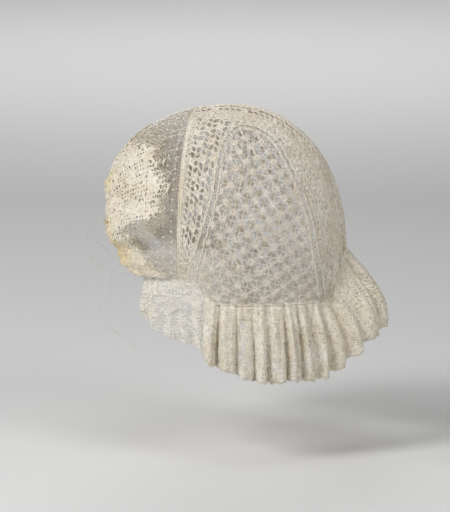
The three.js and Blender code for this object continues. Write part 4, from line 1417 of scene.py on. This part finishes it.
def ruffle_point(along, down):
    """The ruffle's outer face, from the neck line (down 0) to the hem (1), with its pleats and wrinkles."""
    half = nearer_end(along)
    root = neck_line(along)
    out = unit(normals_at(root) * [1, 1, 0])
    nape = np.maximum(0, 1 - (1 - half) / 0.42)
    flare = RUFFLE_FLARE + (NAPE_FLARE - RUFFLE_FLARE) * nape ** 2 * (3 - 2 * nape)
    depth = RUFFLE_DEPTH * read_off(PLEATS, 2, half)
    deep = PLEAT_DEPTH * read_off(PLEATS, 1, half)
    slant = along + 0.012 * np.sin(along * 23) * down
    ripple = slant * 118 + 3.2 * np.sin(along * 14)
    wrinkle = 1.8 * MM * (np.sin(ripple) + 0.4 * np.sin(2 * ripple)) * (0.3 + 0.7 * np.sin(down * 2.4))
    gathers = 0.7 * MM * np.sin(along * 420) * np.maximum(0, 1 - down * 3.2)
    wave = pleat_wave(half - PLEAT_LEAN * np.sin(math.pi * half) ** 0.5 * down)
    crease = 2.4 * MM * (0.5 - 0.5 * wave) ** 8 * np.sin(down * 2.7)
    pleat = deep * wave * (0.22 + 0.78 * down) - crease + wrinkle + gathers
    at = root + out * (flare * np.sin(down * math.pi * 0.56) + pleat)[..., None]
    return stack(at[..., 0], at[..., 1], root[..., 2] - RUFFLE_GAP - depth * down)


rng = np.random.default_rng(101)
ruffle_along = 2 * even_places(lambda place: ruffle_point(2 * place, np.full_like(place, 0.6)), RUFFLE_CELL)
down = np.linspace(0, 1, RUFFLE_ROWS + 1)[:, None]
scallop = HEM_SCALLOP * (np.abs(np.sin(np.arange(len(ruffle_along)) * math.pi / 4)) - 1) * down ** 8
along = np.broadcast_to(ruffle_along, (RUFFLE_ROWS + 1, len(ruffle_along)))
corners = ruffle_point(along, down + scallop)
outward = grid_normals(corners, normals_at(neck_line(along)))
corners[1:-1] += rng.normal(0, 0.26 * MM, corners[1:-1].shape)
hole = floral_holes(corners.shape[0] - 1, corners.shape[1] - 1, RUFFLE_FLOWER, RUFFLE_HOLE, rng)
hole[[0, -1]] = 0
nearness = np.exp(-((ruffle_along[:-1] - WORN_PLACE) / WORN_WIDTH) ** 2)
worn = nearness * (rng.random(hole.shape) < 0.75) > 0.4
worn = worn & (down[:-1] > 0.12) & (down[:-1] < 0.86)
hole[worn] = WORN_HOLE
keep = np.full(hole.shape, True)
keep[worn & (rng.random(hole.shape) < 0.35)] = False
parts = [pierced_cloth(corners, outward, hole, keep, RUFFLE_CLOTH),
         *flower_outlines(corners, outward, RUFFLE_FLOWER, 0.36 * MM, 0.1 * MM),
         whip_stitches(corners[0] - [0, 0, 0.8 * MM], neck_line(ruffle_along) + [0, 0, 1.5 * MM], 0.3 * MM),
         picots(corners[-1], outward[-1], 0.8 * MM, rng),
         edge_cord(corners[0] + [0, 0, 0.2 * MM], 0.75 * MM, outward[0], 5)]
# The ruffle's darker fleck colour is partly painted shade, standing in for dark pleats and gaps.
ruffle_linen = washed_linen("ruffle_lace_linen", "#fdf7ea", "#f1e7d3", "#b8ab8e", flecked=0.42)
ruffle = mesh_piece("gathered_neck_ruffle", *joined(parts), ruffle_linen)
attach(ruffle, "root")
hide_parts("neck_ruffle")


# Loose threads. A few linen strands have come out of the face lace and the cheek lace and hang free in curls,
# and the yellowed edge of the face lace has frayed into a small tuft. Each strand's bends are in millimetres.
STRAY_STRAND = 0.16 * MM
LOOSE_THREADS = [
    [(51, -88, -128), (50, -95, -125), (49, -97, -121), (49, -101, -117), (48, -106, -115), (48, -113, -113),
     (49, -115, -109), (49, -112, -105)],
    [(54, -84, -131), (53, -88, -137), (51, -95, -138), (50, -101, -134), (50, -106, -130), (49, -111, -127),
     (48, -112, -129), (48, -109, -133), (49, -104, -136), (50, -103, -140)],
    [(62, -72, -138), (59, -77, -140), (57, -83, -140), (54, -88, -141), (52, -92, -145), (50, -94, -155),
     (49, -96, -163), (48, -101, -169), (48, -105, -176), (49, -104, -181), (50, -99, -186), (52, -92, -190),
     (54, -85, -194), (57, -77, -198), (59, -69, -204)],
    [(66, -66, -142), (65, -71, -145), (65, -74, -148), (66, -72, -151), (67, -69, -152), (68, -64, -151)],
]
parts = []
for bends in LOOSE_THREADS:
    bends = np.array(bends) * MM
    places = np.arange(len(bends)).astype(float)
    at = np.linspace(0, len(bends) - 1, len(bends) * 8)
    curl = np.stack([smooth_through(bends[:, axis], places, at) for axis in range(3)], axis=-1)
    parts.append(edge_cord(curl, STRAY_STRAND, np.broadcast_to([1.0, 0.0, 0.0], curl.shape), 5))
strand_linen = washed_linen("loose_linen_strand", "#e6dfcd", "#cfc5ae")
strands = mesh_piece("loose_threads", *joined(parts), strand_linen)
rng = np.random.default_rng(113)
TUFT_ROOT = np.array([46, -93, -97]) * MM
WISPS = 26
WISP = 0.2 * MM
reach = np.linspace(0, 1, 5)[:, None]
lean = unit(np.array([0.3, -1.0, 0.1]) + rng.normal(0, 0.35, (WISPS, 1, 3)))
roots = TUFT_ROOT + rng.normal(0, 1.0 * MM, (WISPS, 1, 3))
wisps = roots + lean * reach * rng.uniform(3, 8, (WISPS, 1, 1)) * MM
wisps = wisps + rng.normal(0, 0.4 * MM, wisps.shape) * reach
tuft = mesh_piece("frayed_tuft", *tubes(wisps, WISP, 4, np.broadcast_to([1.0, 0.0, 0.0], wisps.shape)),
                  washed_linen("yellowed_strand", "#f0cf9c", "#e3b878"))
for piece in (strands, tuft):
    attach(piece, "root")
